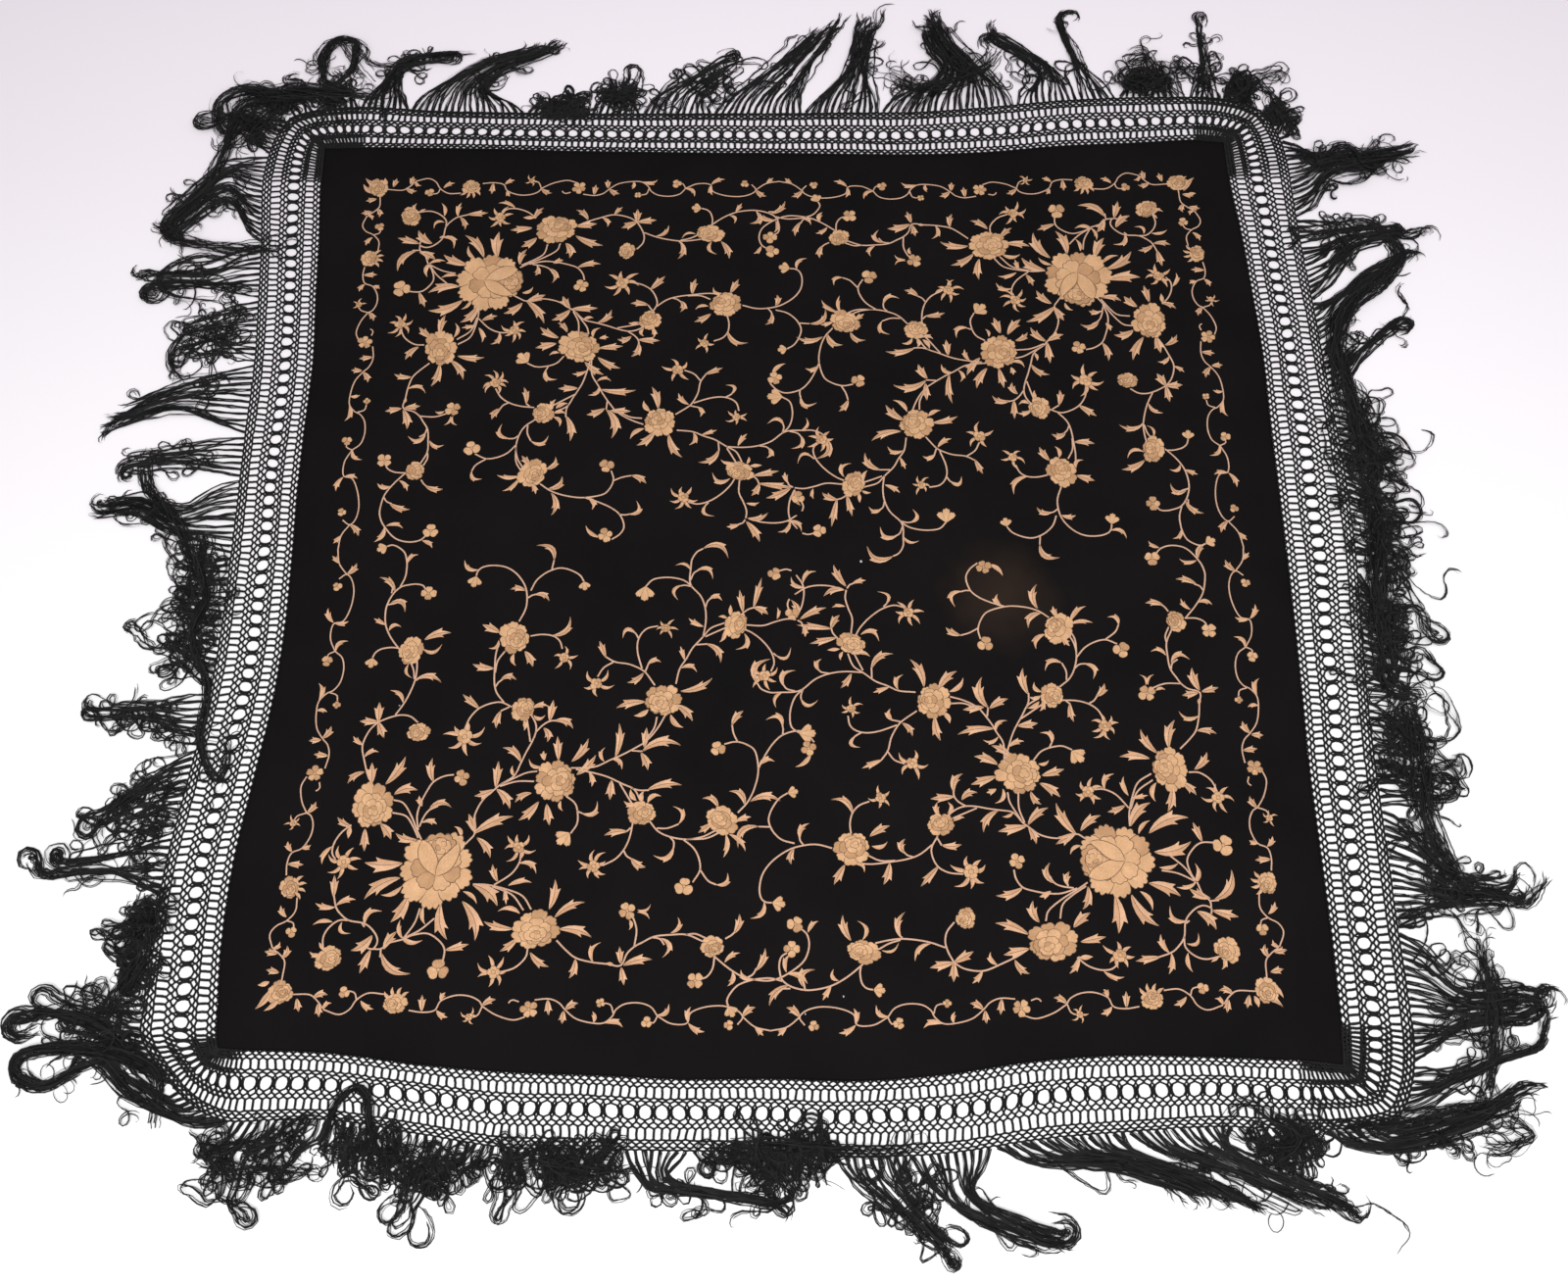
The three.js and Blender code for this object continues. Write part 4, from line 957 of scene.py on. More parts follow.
def net_edge(side, along):
    """The net's outer edge, which turns the corner in an arc."""
    if abs(along) <= fan_start:
        return place(side, along, smooth(side["net"], along))
    end = math.copysign(fan_start, along)
    t = (abs(along) - fan_start) / (fan_end - fan_start)
    start = place(side, end, smooth(side["net"], end))
    silk, net = corner_of(side, along > 0)
    run = place(side, end + math.copysign(1, along), smooth(side["net"], end)) - start
    diagonal = (net - silk) / np.linalg.norm(net - silk)
    reach = (net - start) @ diagonal / (run @ diagonal)
    bend = start + run * arc_reach * min(reach, most_reach)
    return start * (1 - t) ** 2 + bend * 2 * t * (1 - t) + net * t * t


edge_places = np.linspace(-fan_end, fan_end, edge_count)
silk_lines = [np.array([silk_edge(side, a) for a in edge_places]) for side in sides]
net_lines = [np.array([net_edge(side, a) for a in edge_places]) for side in sides]


def on_line(line, along):
    """Points of one of a side's lines at several places along it."""
    return np.stack([np.interp(along, edge_places, line[:, k]) for k in range(2)], axis=-1)


def on_band(k, along, share):
    """Points of a side's band of net: share is 0 at the silk and 1 at the fringe."""
    share = np.asarray(share, float)[..., None]
    return on_line(silk_lines[k], along) * (1 - share) + on_line(net_lines[k], along) * share


def crease_height(x, y):
    """How high the silk lies over its own wall."""
    high = np.zeros_like(np.asarray(x, float))
    for x0, y0, x1, y1, rise, wide in creases:
        long = math.hypot(x1 - x0, y1 - y0)
        run_x = (x1 - x0) / long
        run_y = (y1 - y0) / long
        t = np.clip(((x - x0) * run_x + (y - y0) * run_y) / long, 0, 1)
        away = np.hypot(x - x0 - t * long * run_x, y - y0 - t * long * run_y) / wide
        high = high + rise * np.sin(np.pi * (0.15 + 0.7 * t)) * np.exp(-away * away)
    return high


def silk_top(x, y):
    """How high the silk's upper face lies."""
    return cloth_wall + crease_height(x, y)


cad_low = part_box("cloth")[0]
shift_x = cad_low.x - min(line[:, 0].min() for line in silk_lines) / 1000
shift_y = cad_low.y - min(line[:, 1].min() for line in silk_lines) / 1000


def in_scene(x, y, z):
    """A place given from the middle of the embroidery, in the scene's metres."""
    return (x + border_x) / 1000 + shift_x, (y + border_y) / 1000 + shift_y, z / 1000


def show(name, data):
    """An object of some data, put into the scene."""
    thing = bpy.data.objects.new(name, data)
    bpy.context.scene.collection.objects.link(thing)
    return thing


class Heap:
    """Faces gathered for one piece, in millimetres. Each point also holds its place on its threads:
    how far it lies across them and along them."""

    def __init__(self):
        self.points = []
        self.threads = []
        self.faces = []
        self.finishes = []
        self.count = 0

    def add(self, points, threads, faces, finish=0):
        faces = np.asarray(faces)
        self.points.append(np.asarray(points, float).reshape(-1, 3))
        self.threads.append(np.asarray(threads, float).reshape(-1, 2))
        self.faces.append(faces + self.count)
        self.finishes.append(np.full(len(faces), finish))
        self.count += len(self.points[-1])

    def piece(self, name, materials):
        points = np.concatenate(self.points) / 1000
        points[:, 0] += shift_x
        points[:, 1] += shift_y
        faces = [tuple(face) for block in self.faces for face in block.tolist()]
        mesh = bpy.data.meshes.new(name)
        mesh.from_pydata(points, [], faces)
        mesh.polygons.foreach_set("use_smooth", np.ones(len(faces), bool))
        mesh.polygons.foreach_set("material_index", np.concatenate(self.finishes).astype(np.int32))
        corner_points = np.zeros(len(mesh.loops), np.int32)
        mesh.loops.foreach_get("vertex_index", corner_points)
        threads = np.concatenate(self.threads)[corner_points].astype(np.float32)
        mesh.uv_layers.new(name="Threads").uv.foreach_set("vector", threads.ravel())
        for material in materials:
            mesh.materials.append(material)
        mesh.update()
        thing = show(name, mesh)
        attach(thing, "root")
        return thing


def sheet_faces(rows, columns):
    """The quads between rows of points that lie one after another."""
    first = np.arange(rows - 1)[:, None] * columns + np.arange(columns - 1)[None, :]
    return np.stack([first, first + 1, first + columns + 1, first + columns], axis=-1).reshape(-1, 4)


def tube_faces(rows, columns):
    """The quads of a tube of that many rings, each of that many points."""
    first = np.arange(rows - 1)[:, None] * columns
    here = np.arange(columns)[None, :]
    after = (here + 1) % columns
    above = first + columns
    return np.stack([first + here, first + after, above + after, above + here], axis=-1).reshape(-1, 4)


def ways(line):
    """The level direction of a line at each of its points, and the direction to its left."""
    run = np.gradient(line[:, :2], axis=0)
    run /= np.maximum(np.linalg.norm(run, axis=1, keepdims=True), 1e-9)
    return run, np.stack([-run[:, 1], run[:, 0]], axis=1)


def gone_along(line):
    """How far along a line each of its points lies."""
    return np.concatenate([[0], np.cumsum(np.linalg.norm(np.diff(line, axis=0), axis=1))])


def tube(heap, line, radius, corners_round):
    """A thread of a few sides along a line of points."""
    line = np.asarray(line, float)
    radius = np.broadcast_to(radius, len(line))[:, None]
    left = ways(line)[1]
    angles = np.arange(corners_round) * 2 * math.pi / corners_round + math.pi / 2
    rings = np.repeat(line[:, None, :], corners_round, axis=1)
    rings[..., :2] += left[:, None, :] * (np.cos(angles)[None, :] * radius)[..., None]
    rings[..., 2] += np.sin(angles)[None, :] * radius
    length, around = np.meshgrid(gone_along(line), np.arange(corners_round), indexing="ij")
    heap.add(rings, np.stack([length, around], axis=-1), tube_faces(len(line), corners_round))


def held(slope, most):
    """A slope, shortened where it is longer than the most that it may be."""
    return slope * min(1, most / max(np.linalg.norm(slope), 1e-9))


def curve(points, step):
    """A smooth line through points, with its own points about a step apart."""
    points = np.asarray(points, float)
    if len(points) < 3:
        count = max(2, round(np.linalg.norm(points[-1] - points[0]) / step) + 1)
        return points[0] + (points[-1] - points[0]) * np.linspace(0, 1, count)[:, None]
    padded = np.concatenate([[2 * points[0] - points[1]], points, [2 * points[-1] - points[-2]]])
    made = []
    for a, b, c, d in zip(padded, padded[1:], padded[2:], padded[3:]):
        span = np.linalg.norm(c - b)
        count = max(2, math.ceil(span / (step / 4)))
        t = (np.arange(count) / count)[:, None]
        made.append(eased(t, b, c, held((c - a) / 2, span * 1.2), held((d - b) / 2, span * 1.2)))
    made = np.concatenate(made + [points[-1:]])
    gone = gone_along(made[:, :2])
    count = max(2, round(gone[-1] / step) + 1)
    at = np.linspace(0, gone[-1], count)
    return np.stack([np.interp(at, gone, made[:, k]) for k in range(made.shape[1])], axis=1)


class Nodes:
    """The nodes of one material, joined up as they are made."""

    def __init__(self, name):
        self.material = bpy.data.materials.new(name)
        self.material.use_nodes = True
        self.tree = self.material.node_tree
        self.shader = self.tree.nodes["Principled BSDF"]
        self.place = self.add("ShaderNodeTexCoord").outputs["Object"]

    def add(self, kind, **settings):
        node = self.tree.nodes.new(kind)
        for name, value in settings.items():
            setattr(node, name, value)
        return node

    def join(self, start, end):
        self.tree.links.new(start, end)

    def threads(self):
        return self.add("ShaderNodeUVMap", uv_map="Threads").outputs["UV"]

    def noise(self, scale, detail=3.0, roughness=0.5, where=None):
        node = self.add("ShaderNodeTexNoise")
        node.inputs["Scale"].default_value = scale
        node.inputs["Detail"].default_value = detail
        node.inputs["Roughness"].default_value = roughness
        self.join(where or self.place, node.inputs["Vector"])
        return node.outputs["Fac"]

    def stretched(self, scale, where=None):
        node = self.add("ShaderNodeMapping")
        node.inputs["Scale"].default_value = scale
        self.join(where or self.place, node.inputs["Vector"])
        return node.outputs["Vector"]

    def waves(self, scale, direction, distortion=0.0, where=None):
        node = self.add("ShaderNodeTexWave", wave_type="BANDS", bands_direction=direction)
        node.inputs["Scale"].default_value = scale
        node.inputs["Distortion"].default_value = distortion
        node.inputs["Detail"].default_value = 1.0
        self.join(where or self.place, node.inputs["Vector"])
        return node.outputs["Fac"]

    def math(self, operation, first, second):
        node = self.add("ShaderNodeMath", operation=operation)
        for socket, value in zip(node.inputs, (first, second)):
            if isinstance(value, (int, float)):
                socket.default_value = value
            else:
                self.join(value, socket)
        return node.outputs["Value"]

    def ramp(self, value, stops):
        node = self.add("ShaderNodeValToRGB")
        elements = node.color_ramp.elements
        for _ in range(len(stops) - 2):
            elements.new(0.5)
        for element, (at, colour) in zip(elements, stops):
            element.position = at
            element.color = (*colour, 1)
        self.join(value, node.inputs["Fac"])
        return node.outputs["Color"]

    def mix(self, share, first, second):
        node = self.add("ShaderNodeMix", data_type="RGBA")
        self.join(share, node.inputs["Factor"])
        for socket, value in ((node.inputs[6], first), (node.inputs[7], second)):
            if isinstance(value, tuple):
                socket.default_value = (*value, 1)
            else:
                self.join(value, socket)
        return node.outputs[2]

    def colour(self, value):
        self.join(value, self.shader.inputs["Base Color"])

    def rough(self, value, low, high):
        node = self.add("ShaderNodeMapRange")
        node.inputs["To Min"].default_value = low
        node.inputs["To Max"].default_value = high
        self.join(value, node.inputs["Value"])
        self.join(node.outputs["Result"], self.shader.inputs["Roughness"])

    def bump(self, height, distance, strength=1.0, below=None):
        node = self.add("ShaderNodeBump")
        node.inputs["Distance"].default_value = distance
        node.inputs["Strength"].default_value = strength
        self.join(height, node.inputs["Height"])
        if below:
            self.join(below, node.inputs["Normal"])
        self.join(node.outputs["Normal"], self.shader.inputs["Normal"])
        return node.outputs["Normal"]


def silk_material():
    """Black silk crepe: a close weave, softly uneven, worn thin and brown in one place."""
    n = Nodes("silk_crepe")
    worn = n.add("ShaderNodeVectorMath", operation="DISTANCE")
    n.join(n.place, worn.inputs[0])
    worn.inputs[1].default_value = in_scene(*worn_place)
    ragged = n.math("MULTIPLY", n.noise(24, 4), worn_stray / 1000)
    near = n.math("ADD", worn.outputs["Value"], ragged)
    full = (worn_full / 1000, (worn_share, worn_share, worn_share))
    none = (worn_end / 1000, (0.0, 0.0, 0.0))
    thin = n.ramp(near, [full, none])
    dark, light = silk_colours
    cloudy = n.ramp(n.noise(7, 4), [(0.3, dark), (0.7, light)])
    n.colour(n.mix(thin, cloudy, worn_colour))
    weave = n.math("MULTIPLY", n.waves(weave_scale, "X", 1.5), n.waves(weave_scale, "Y", 1.5))
    crepe = n.noise(crepe_scale, 3, 0.7)
    soft = n.bump(n.noise(9, 2), wrinkle_depth, 0.35)
    n.bump(n.math("ADD", weave, crepe), weave_depth, 0.5, soft)
    n.rough(crepe, 0.55, 0.8)
    n.shader.inputs["Specular IOR Level"].default_value = 0.06
    return n.material


def stitch_material(name, dark, light, roughness):
    """Satin stitch in floss silk: close threads side by side, each a little lighter or darker."""
    n = Nodes(name)
    threads = n.threads()
    ridges = n.waves(1.55, "X", 1.2, threads)
    strands = n.noise(1.6, 3, 0.6, n.stretched((1.0, 0.16, 1.0), threads))
    worn = n.noise(55, 4, 0.6)
    shade = n.math("ADD", n.math("MULTIPLY", strands, 0.65), n.math("MULTIPLY", worn, 0.35))
    n.colour(n.ramp(shade, [(0.34, dark), (0.62, light)]))
    n.bump(n.math("ADD", ridges, strands), stitch_depth, 0.6)
    n.rough(strands, roughness - 0.08, roughness + 0.1)
    n.shader.inputs["Sheen Weight"].default_value = 0.08
    n.shader.inputs["Sheen Roughness"].default_value = 0.35
    return n.material


def thread_material(name, dark, light, twist):
    """Twisted black silk, as in the net and the fringe."""
    n = Nodes(name)
    turns = n.waves(twist, "DIAGONAL", 0.6, n.threads())
    uneven = n.noise(160, 3, 0.6)
    n.colour(n.ramp(uneven, [(0.3, dark), (0.7, light)]))
    n.bump(turns, twist_depth, 0.7)
    n.rough(uneven, 0.45, 0.65)
    n.shader.inputs["Specular IOR Level"].default_value = 0.2
    return n.material


def lint_material():
    """Pale dust caught on the silk."""
    n = Nodes("lint")
    dark, light = lint_colours
    n.colour(n.ramp(n.noise(900, 3), [(0.35, dark), (0.65, light)]))
    n.bump(n.noise(1500, 3), 0.0004, 0.8)
    n.shader.inputs["Roughness"].default_value = 0.9
    return n.material


def floor_material():
    """A plain white floor, a little rosier towards the back."""
    n = Nodes("pale_floor")
    apart = n.add("ShaderNodeSeparateXYZ")
    n.join(n.place, apart.inputs[0])
    back = n.add("ShaderNodeMapRange")
    back.inputs["From Min"].default_value = rosy_from
    back.inputs["From Max"].default_value = rosy_to
    n.join(apart.outputs["Y"], back.inputs["Value"])
    n.colour(n.mix(back.outputs["Result"], floor_front, floor_back))
    n.bump(n.noise(30, 3), 0.0004, 0.1)
    n.shader.inputs["Roughness"].default_value = 0.85
    n.shader.inputs["Specular IOR Level"].default_value = 0.1
    return n.material


def silk_grid(count):
    """Places spread evenly between the silk's four edges, in rows from the front to the back."""
    at = np.linspace(-fan_end, fan_end, count + 1)
    front, right, back, left = (on_line(line, at) for line in silk_lines)
    s = np.linspace(0, 1, count + 1)[None, :, None]
    t = np.linspace(0, 1, count + 1)[:, None, None]
    flat = front[None, :] * (1 - t) + back[::-1][None, :] * t
    flat = flat + left[::-1][:, None] * (1 - s) + right[:, None] * s
    flat = flat - front[0] * (1 - s) * (1 - t) - front[-1] * s * (1 - t)
    return flat - back[-1] * (1 - s) * t - back[0] * s * t


def rim_order(count):
    """The numbers of the points round a square grid, once round from its first corner."""
    side = np.arange(count)
    row = count + 1
    return np.concatenate([side, side * row + count, row * count + count - side, (count - side) * row])


def make_silk():
    """The silk: a closed shell on its solid's form, flat below and softly creased above."""
    n = silk_steps
    flat = silk_grid(n)
    steps = np.minimum(np.arange(n + 1), np.arange(n + 1)[::-1])
    rim = np.clip(np.minimum(steps[:, None], steps[None, :]) / rim_steps, 0, 1)
    top = cloth_wall + crease_height(flat[..., 0], flat[..., 1]) * rim
    heap = Heap()
    heap.add(np.dstack([flat, top]), flat, sheet_faces(n + 1, n + 1))
    order = rim_order(n)
    ring = flat.reshape(-1, 2)[order]
    count = len(ring)
    upper = np.column_stack([ring, top.ravel()[order]])
    lower = np.column_stack([ring, np.full(count, lowest)])
    here = np.arange(count)
    after = (here + 1) % count
    walls = np.stack([here + count, after + count, after, here], axis=-1)
    heap.add(np.concatenate([upper, lower]), np.concatenate([ring, ring]), walls)
    middle = np.array([[0, 0, lowest]])
    under = np.stack([after, here, np.full(count, count)], axis=-1)
    heap.add(np.concatenate([lower, middle]), np.concatenate([ring, middle[:, :2]]), under)
    silk = heap.piece("silk", [silk_material()])
    close_up(silk.data)
    return silk


def close_up(mesh):
    """Join the points of a mesh that lie in one place."""
    made = bmesh.new()
    made.from_mesh(mesh)
    bmesh.ops.remove_doubles(made, verts=made.verts, dist=1e-6)
    made.to_mesh(mesh)
    made.free()


def make_hem():
    """The silk's rolled hem, once round its edge."""
    heap = Heap()
    at = np.linspace(-fan_end, fan_end, hem_steps)[:-1]
    loop = np.concatenate([on_line(line, at) for line in silk_lines])
    loop = np.concatenate([loop, loop[:1]])
    wander = hem_waver * np.sin(np.arange(len(loop)) * 0.9)
    line = np.column_stack([loop * hem_inset, hem_radius + hem_lift + 0.1 * wander])
    tube(heap, line, hem_radius + 0.5 * wander, 6)
    return heap.piece("hem", [silk_material()])


def spline_bend(points, here):
    """How far each point lies from each anchor, as the drift's bend takes it."""
    far = np.linalg.norm(points[:, None] - here[None, :], axis=2)
    return np.where(far > 0, far**2 * np.log(np.maximum(far, 1)), 0)


def drift(quarter):
    """How the pattern drifts in one quarter: a smooth map through the anchors."""
    here = np.array([row[0] for row in anchors], float)
    there = np.array([row[quarter] for row in anchors], float)
    count = len(here)
    level = np.column_stack([np.ones(count), here])
    table = np.zeros((count + 3, count + 3))
    table[:count, :count] = spline_bend(here, here) + np.eye(count) * softness
    table[:count, count:] = level
    table[count:, :count] = level.T
    goal = np.concatenate([there - here, np.zeros((3, 2))])
    weights = np.linalg.solve(table, goal)

    def drifted(points):
        points = np.asarray(points, float).reshape(-1, 2)
        levels = np.column_stack([np.ones(len(points)), points])
        moved = points + spline_bend(points, here) @ weights[:count] + levels @ weights[count:]
        x, y = turned(moved[:, 0], moved[:, 1], quarter)
        return np.column_stack([x + border_x, y + border_y])

    return drifted


def lay(points, height):
    """Flat points, lifted onto the silk."""
    top = silk_top(points[..., 0], points[..., 1])
    return np.concatenate([points, (top + height)[..., None]], axis=-1)


def sew_petal(
    heap, middle, turn, near, far, half, level, squash=(1, 1), tilt=0.0, scallops=3, finish=petal
):
    """A fan of satin stitch from near to far out of a flower's middle, on a thin dark edge."""
    columns = max(7, 4 * scallops + 1)
    a = np.linspace(-1, 1, columns)[None, :]
    ruffle = petal_ruffle * (1 - np.abs(np.sin(np.pi * scallops * (a + 1) / 2)))
    outline = 1 - petal_shoulder * np.abs(a) ** 3 - ruffle
    for grow, filling, rows in ((petal_gap + far / 90, gap, gap_rows), (0.0, finish, petal_rows)):
        r = np.array(rows)[:, None]
        radius = near + ((far + grow) * outline - near) * r
        spread = (half + grow / max(far, 1)) * (0.75 + 0.25 * np.sin(np.pi * (0.1 + 0.6 * r)))
        angle = turn + a * spread
        x = radius * np.cos(angle) * squash[0]
        y = radius * np.sin(angle) * squash[1]
        c = math.cos(tilt)
        s = math.sin(tilt)
        points = np.stack([x * c - y * s, x * s + y * c], axis=-1) + middle
        if filling == gap:
            height = np.full(radius.shape, level - gap_drop)
        else:
            height = level + petal_dome * np.sin(np.pi * (0.15 + 0.7 * r)) * (1 - a**4)
        threads = np.stack([np.broadcast_to(a * half * far, radius.shape), radius + 7 * turn], axis=-1)
        heap.add(lay(points, height), threads, sheet_faces(len(rows), columns), filling)


def sew_ring(
    heap, middle, count, start, near, far, fat, level, squash=(1, 1), tilt=0.0, scallops=(2, 3, 3)
):
    """A ring of petals, each a little over the one beside it."""
    for i in range(count):
        turn = start + 2 * math.pi * i / count + rng.uniform(-0.07, 0.07)
        reach = far * rng.uniform(0.9, 1.07)
        half = math.pi / count * fat
        high = level + petal_over * (2 if i == count - 1 and count % 2 else i % 2)
        # Some petals, at random, take the painted shade: the darker copy of the petal silk.
        finish = petal_painted_shade if rng.random() < painted_shade_share else petal
        sew_petal(heap, middle, turn, near, reach, half, high, squash, tilt, rng.choice(scallops), finish)


def sew_disc(heap, middle, radius, level):
    """A small round knot of stitches."""
    angles = np.linspace(0, 2 * np.pi, disc_columns)[None, :]
    share = np.array([0.02, 0.7, 1.0])[:, None]
    faces = sheet_faces(len(share), disc_columns)[:, ::-1]
    for grow, filling in ((disc_gap, gap), (0.0, petal)):
        flat = np.stack([np.cos(angles) * share, np.sin(angles) * share], axis=-1) * (radius + grow)
        dome = 0.0 if filling == gap else disc_rise + disc_dome * (1 - share**3)
        height = np.broadcast_to(level + dome, flat.shape[:2])
        heap.add(lay(flat + middle, height), flat, faces, filling)


def sew_rose(heap, middle, wide, high, tilt, outer):
    """A full rose: an outer ring of petals, two rings over it and a folded heart, off centre."""
    reach = max(wide, high)
    squash = (wide / reach, high / reach)
    lean = rng.uniform(0, 2 * math.pi)
    toward = np.array([math.cos(lean), math.sin(lean)]) * reach
    start = rng.uniform(0, 2 * math.pi)
    near, level = rose_outer
    sew_ring(heap, middle, outer, start, reach * near, reach, petal_overlap, level, squash, tilt)
    inner = ((max(4, outer - 2), start + 0.4), (4, lean))
    for (offset, near, far, level), (count, first) in zip(rose_rings, inner):
        spot = middle + toward * offset
        near *= reach
        far *= reach
        sew_ring(heap, spot, count, first, near, far, petal_overlap, level, squash, tilt, (1, 2, 3))
    offset, far, level = rose_heart
    heart = middle + toward * offset
    sew_ring(heap, heart, 3, lean + 0.5, 0, reach * far, 1.0, level, squash, tilt, (1, 2))


def sew_bud(heap, middle, reach, count, turn):
    """A spiky bud: curved points round a small knot."""
    near, least, most = bud_points
    for i in range(count):
        angle = turn + 2 * math.pi * i / count + rng.uniform(-0.22, 0.22)
        way = np.array([math.cos(angle), math.sin(angle)])
        root = middle + way * reach * near
        tip = middle + way * reach * rng.uniform(least, most)
        sew_leaf(heap, root, tip, reach * bud_slimness, rng.choice(bud_bows), 0)
    far, level = bud_heart
    sew_ring(heap, middle, 4, turn, 0.5, reach * far, 1.1, level, scallops=(1, 2))
    sew_disc(heap, middle, reach * bud_knot, 0.8)


def sew_blossom(heap, middle, reach, count, turn):
    """A small flower of a few round petals."""
    sew_ring(heap, middle, count, turn, reach * 0.1, reach, 0.92, 0.2, scallops=(1, 2, 2))
    sew_disc(heap, middle, reach * flower_knot, 0.5)


def sew_bell(heap, start, length, angle):
    """A hanging bell of three petals."""
    for bend, share, level in bell_petals:
        sew_petal(heap, start, angle + bend, 1.0, length * share, bell_spread, level)


# A leaf's outline: how far along, and how wide at each place, plain and with a point at its side.
leaf_stations = np.array([0, 0.1, 0.25, 0.42, 0.55, 0.63, 0.67, 0.78, 0.9, 1.0])
leaf_plain = np.array([0.08, 0.42, 0.80, 1.0, 0.92, 0.82, 0.75, 0.50, 0.24, 0.01])
leaf_pointed = np.array([0.08, 0.36, 0.66, 0.88, 1.02, 1.32, 0.62, 0.45, 0.22, 0.01])
leaf_forward = np.array([0, 0, 0, 0, 0.02, 0.10, 0, 0, 0, 0])


def sew_leaf(heap, root, tip, width, bow, points_out):
    """A leaf of two halves with a vein between them, the right half in painted shade. Side points: 1
    left, 2 right, 3 both.
    """
    root = np.asarray(root, float)
    tip = np.asarray(tip, float)
    run = tip - root
    length = np.linalg.norm(run)
    left = np.array([-run[1], run[0]]) / length
    stations = leaf_stations[:, None]
    bent = leaf_bow * (stations * (1 - stations) - leaf_hook * stations**4)
    middle = root + stations * run + 4 * bent * bow * length * left
    ahead = np.gradient(middle, axis=0)
    ahead /= np.linalg.norm(ahead, axis=1, keepdims=True)
    side = np.stack([-ahead[:, 1], ahead[:, 0]], axis=1)
    vein = leaf_vein if width > 7 else 0.0
    across = np.array([0.0, 0.5, 1.0])[None, :]
    # The left half in the leaf silk, the right in its darker copy: painted shade, as the satin's sheen
    # turns with its threads.
    for mark, sign, finish in ((1, 1, leaf), (2, -1, leaf_painted_shade)):
        pointed = bool(points_out & mark)
        profile = (leaf_pointed if pointed else leaf_plain)[:, None]
        forward = leaf_forward[:, None] * length * pointed
        reach = vein + np.maximum(profile * width / 2 - vein, 0.05) * across
        flat = middle[:, None] + sign * side[:, None] * reach[..., None]
        flat = flat + ahead[:, None] * (forward * across**2)[..., None]
        dome = leaf_dome * np.sin(np.pi * (0.15 + 0.8 * across)) * np.minimum(1, profile)
        threads = np.stack([stations * length - reach * 0.8, reach], axis=-1)
        faces = sheet_faces(len(leaf_stations), 3)[:, ::-sign]
        heap.add(lay(flat, leaf_edge_height + dome), threads, faces, finish)


def sew_stalk(heap, points, width=stalk_width):
    """A stalk: close stitches across a soft cord."""
    line = curve(points, stalk_step)
    left = ways(line)[1]
    gone = gone_along(line)[:, None]
    across = np.array(stalk_across)[None, :]
    flat = line[:, None] + left[:, None] * (across * width / 2)[..., None]
    height = np.broadcast_to(np.array(stalk_heights), flat.shape[:2])
    threads = np.stack(np.broadcast_arrays(gone + across * 0.6, across * width / 2), axis=-1)
    heap.add(lay(flat, height), threads, sheet_faces(*flat.shape[:2])[:, ::-1], stalk)


def sew_quarter(heap, quarter):
    """One quarter of the pattern."""
    drifted = drift(quarter)
    turn = quarter * math.pi / 2
    for points in stalks:
        sew_stalk(heap, drifted(points))
    for x0, y0, x1, y1, width, bow, points_out in leaves:
        root, tip = drifted([(x0, y0), (x1, y1)])
        sew_leaf(heap, root, tip, leaf_slimness * width * rng.uniform(0.92, 1.08), bow, points_out)
    for x, y, reach, count, degrees in buds:
        sew_bud(heap, drifted((x, y))[0], reach, count, math.radians(degrees) + turn)
    for x, y, reach, count, degrees in blossoms:
        sew_blossom(heap, drifted((x, y))[0], reach, count, math.radians(degrees) + turn)
    for x, y, length, degrees in bells:
        sew_bell(heap, drifted((x, y))[0], length, math.radians(degrees) + turn)
    for x, y, wide, high, degrees, outer in roses:
        sew_rose(heap, drifted((x, y))[0], wide, high, math.radians(degrees) + turn, outer)
    sew_peony(heap, drifted(peony_place)[0], quarter)


def sew_fold(heap, middle, quarter, outer, inner, level):
    """A petal folded round the peony's heart, between two edges, on a thin dark edge."""
    share = np.linspace(0, 1, fold_columns)
    edges = []
    for points in (outer, inner):
        line = curve(points, 2.0)
        gone = np.linspace(0, 1, len(line))
        edges.append(np.stack([np.interp(share, gone, line[:, i]) for i in range(2)], axis=1))
    across = np.linspace(0, 1, fold_rows)[:, None]
    out = edges[0] - edges[1]
    out = out / np.maximum(np.linalg.norm(out, axis=1, keepdims=True), 1.0)
    faces = sheet_faces(fold_rows, fold_columns)
    if outer[1][0] > 0:
        faces = faces[:, ::-1]
    for grow, filling in ((fold_gap, gap), (0.0, petal)):
        t = across[..., None]
        flat = (edges[0] + out * grow) * (1 - t) + (edges[1] - out * grow) * t
        x, y = turned(flat[..., 0], flat[..., 1], quarter)
        rise = -gap_drop if filling == gap else fold_dome * np.sin(np.pi * across)
        height = np.broadcast_to(level + rise, x.shape)
        threads = np.stack(np.broadcast_arrays(across * 12, share[None, :] * 60), axis=-1)
        heap.add(lay(np.stack([x, y], axis=-1) + middle, height), threads, faces, filling)


def sew_peony(heap, middle, quarter):
    """The great peony: ruffled rings of petals, and broad ones folded round a coiled heart."""
    turn = quarter * math.pi / 2
    for x, y, count, near, far, scallops, level in peony_rings:
        spot = middle + turned(x, y, quarter)
        start = turn + 0.2 * count
        sew_ring(heap, spot, count, start, near, far, petal_overlap, level, scallops=scallops)
    for x, y, degrees, far, half, scallops, level, deep in peony_petals:
        spot = middle + turned(x, y, quarter)
        angle = math.radians(degrees) + turn
        wide = math.radians(half)
        # The marked petals behind the heart take the painted shade, the darker copy of the petal silk.
        finish = petal_painted_shade if deep else petal
        sew_petal(heap, spot, angle, far * 0.08, far, wide, level, scallops=scallops, finish=finish)
    for outer, inner, level in peony_folds:
        sew_fold(heap, middle, quarter, outer, inner, level)


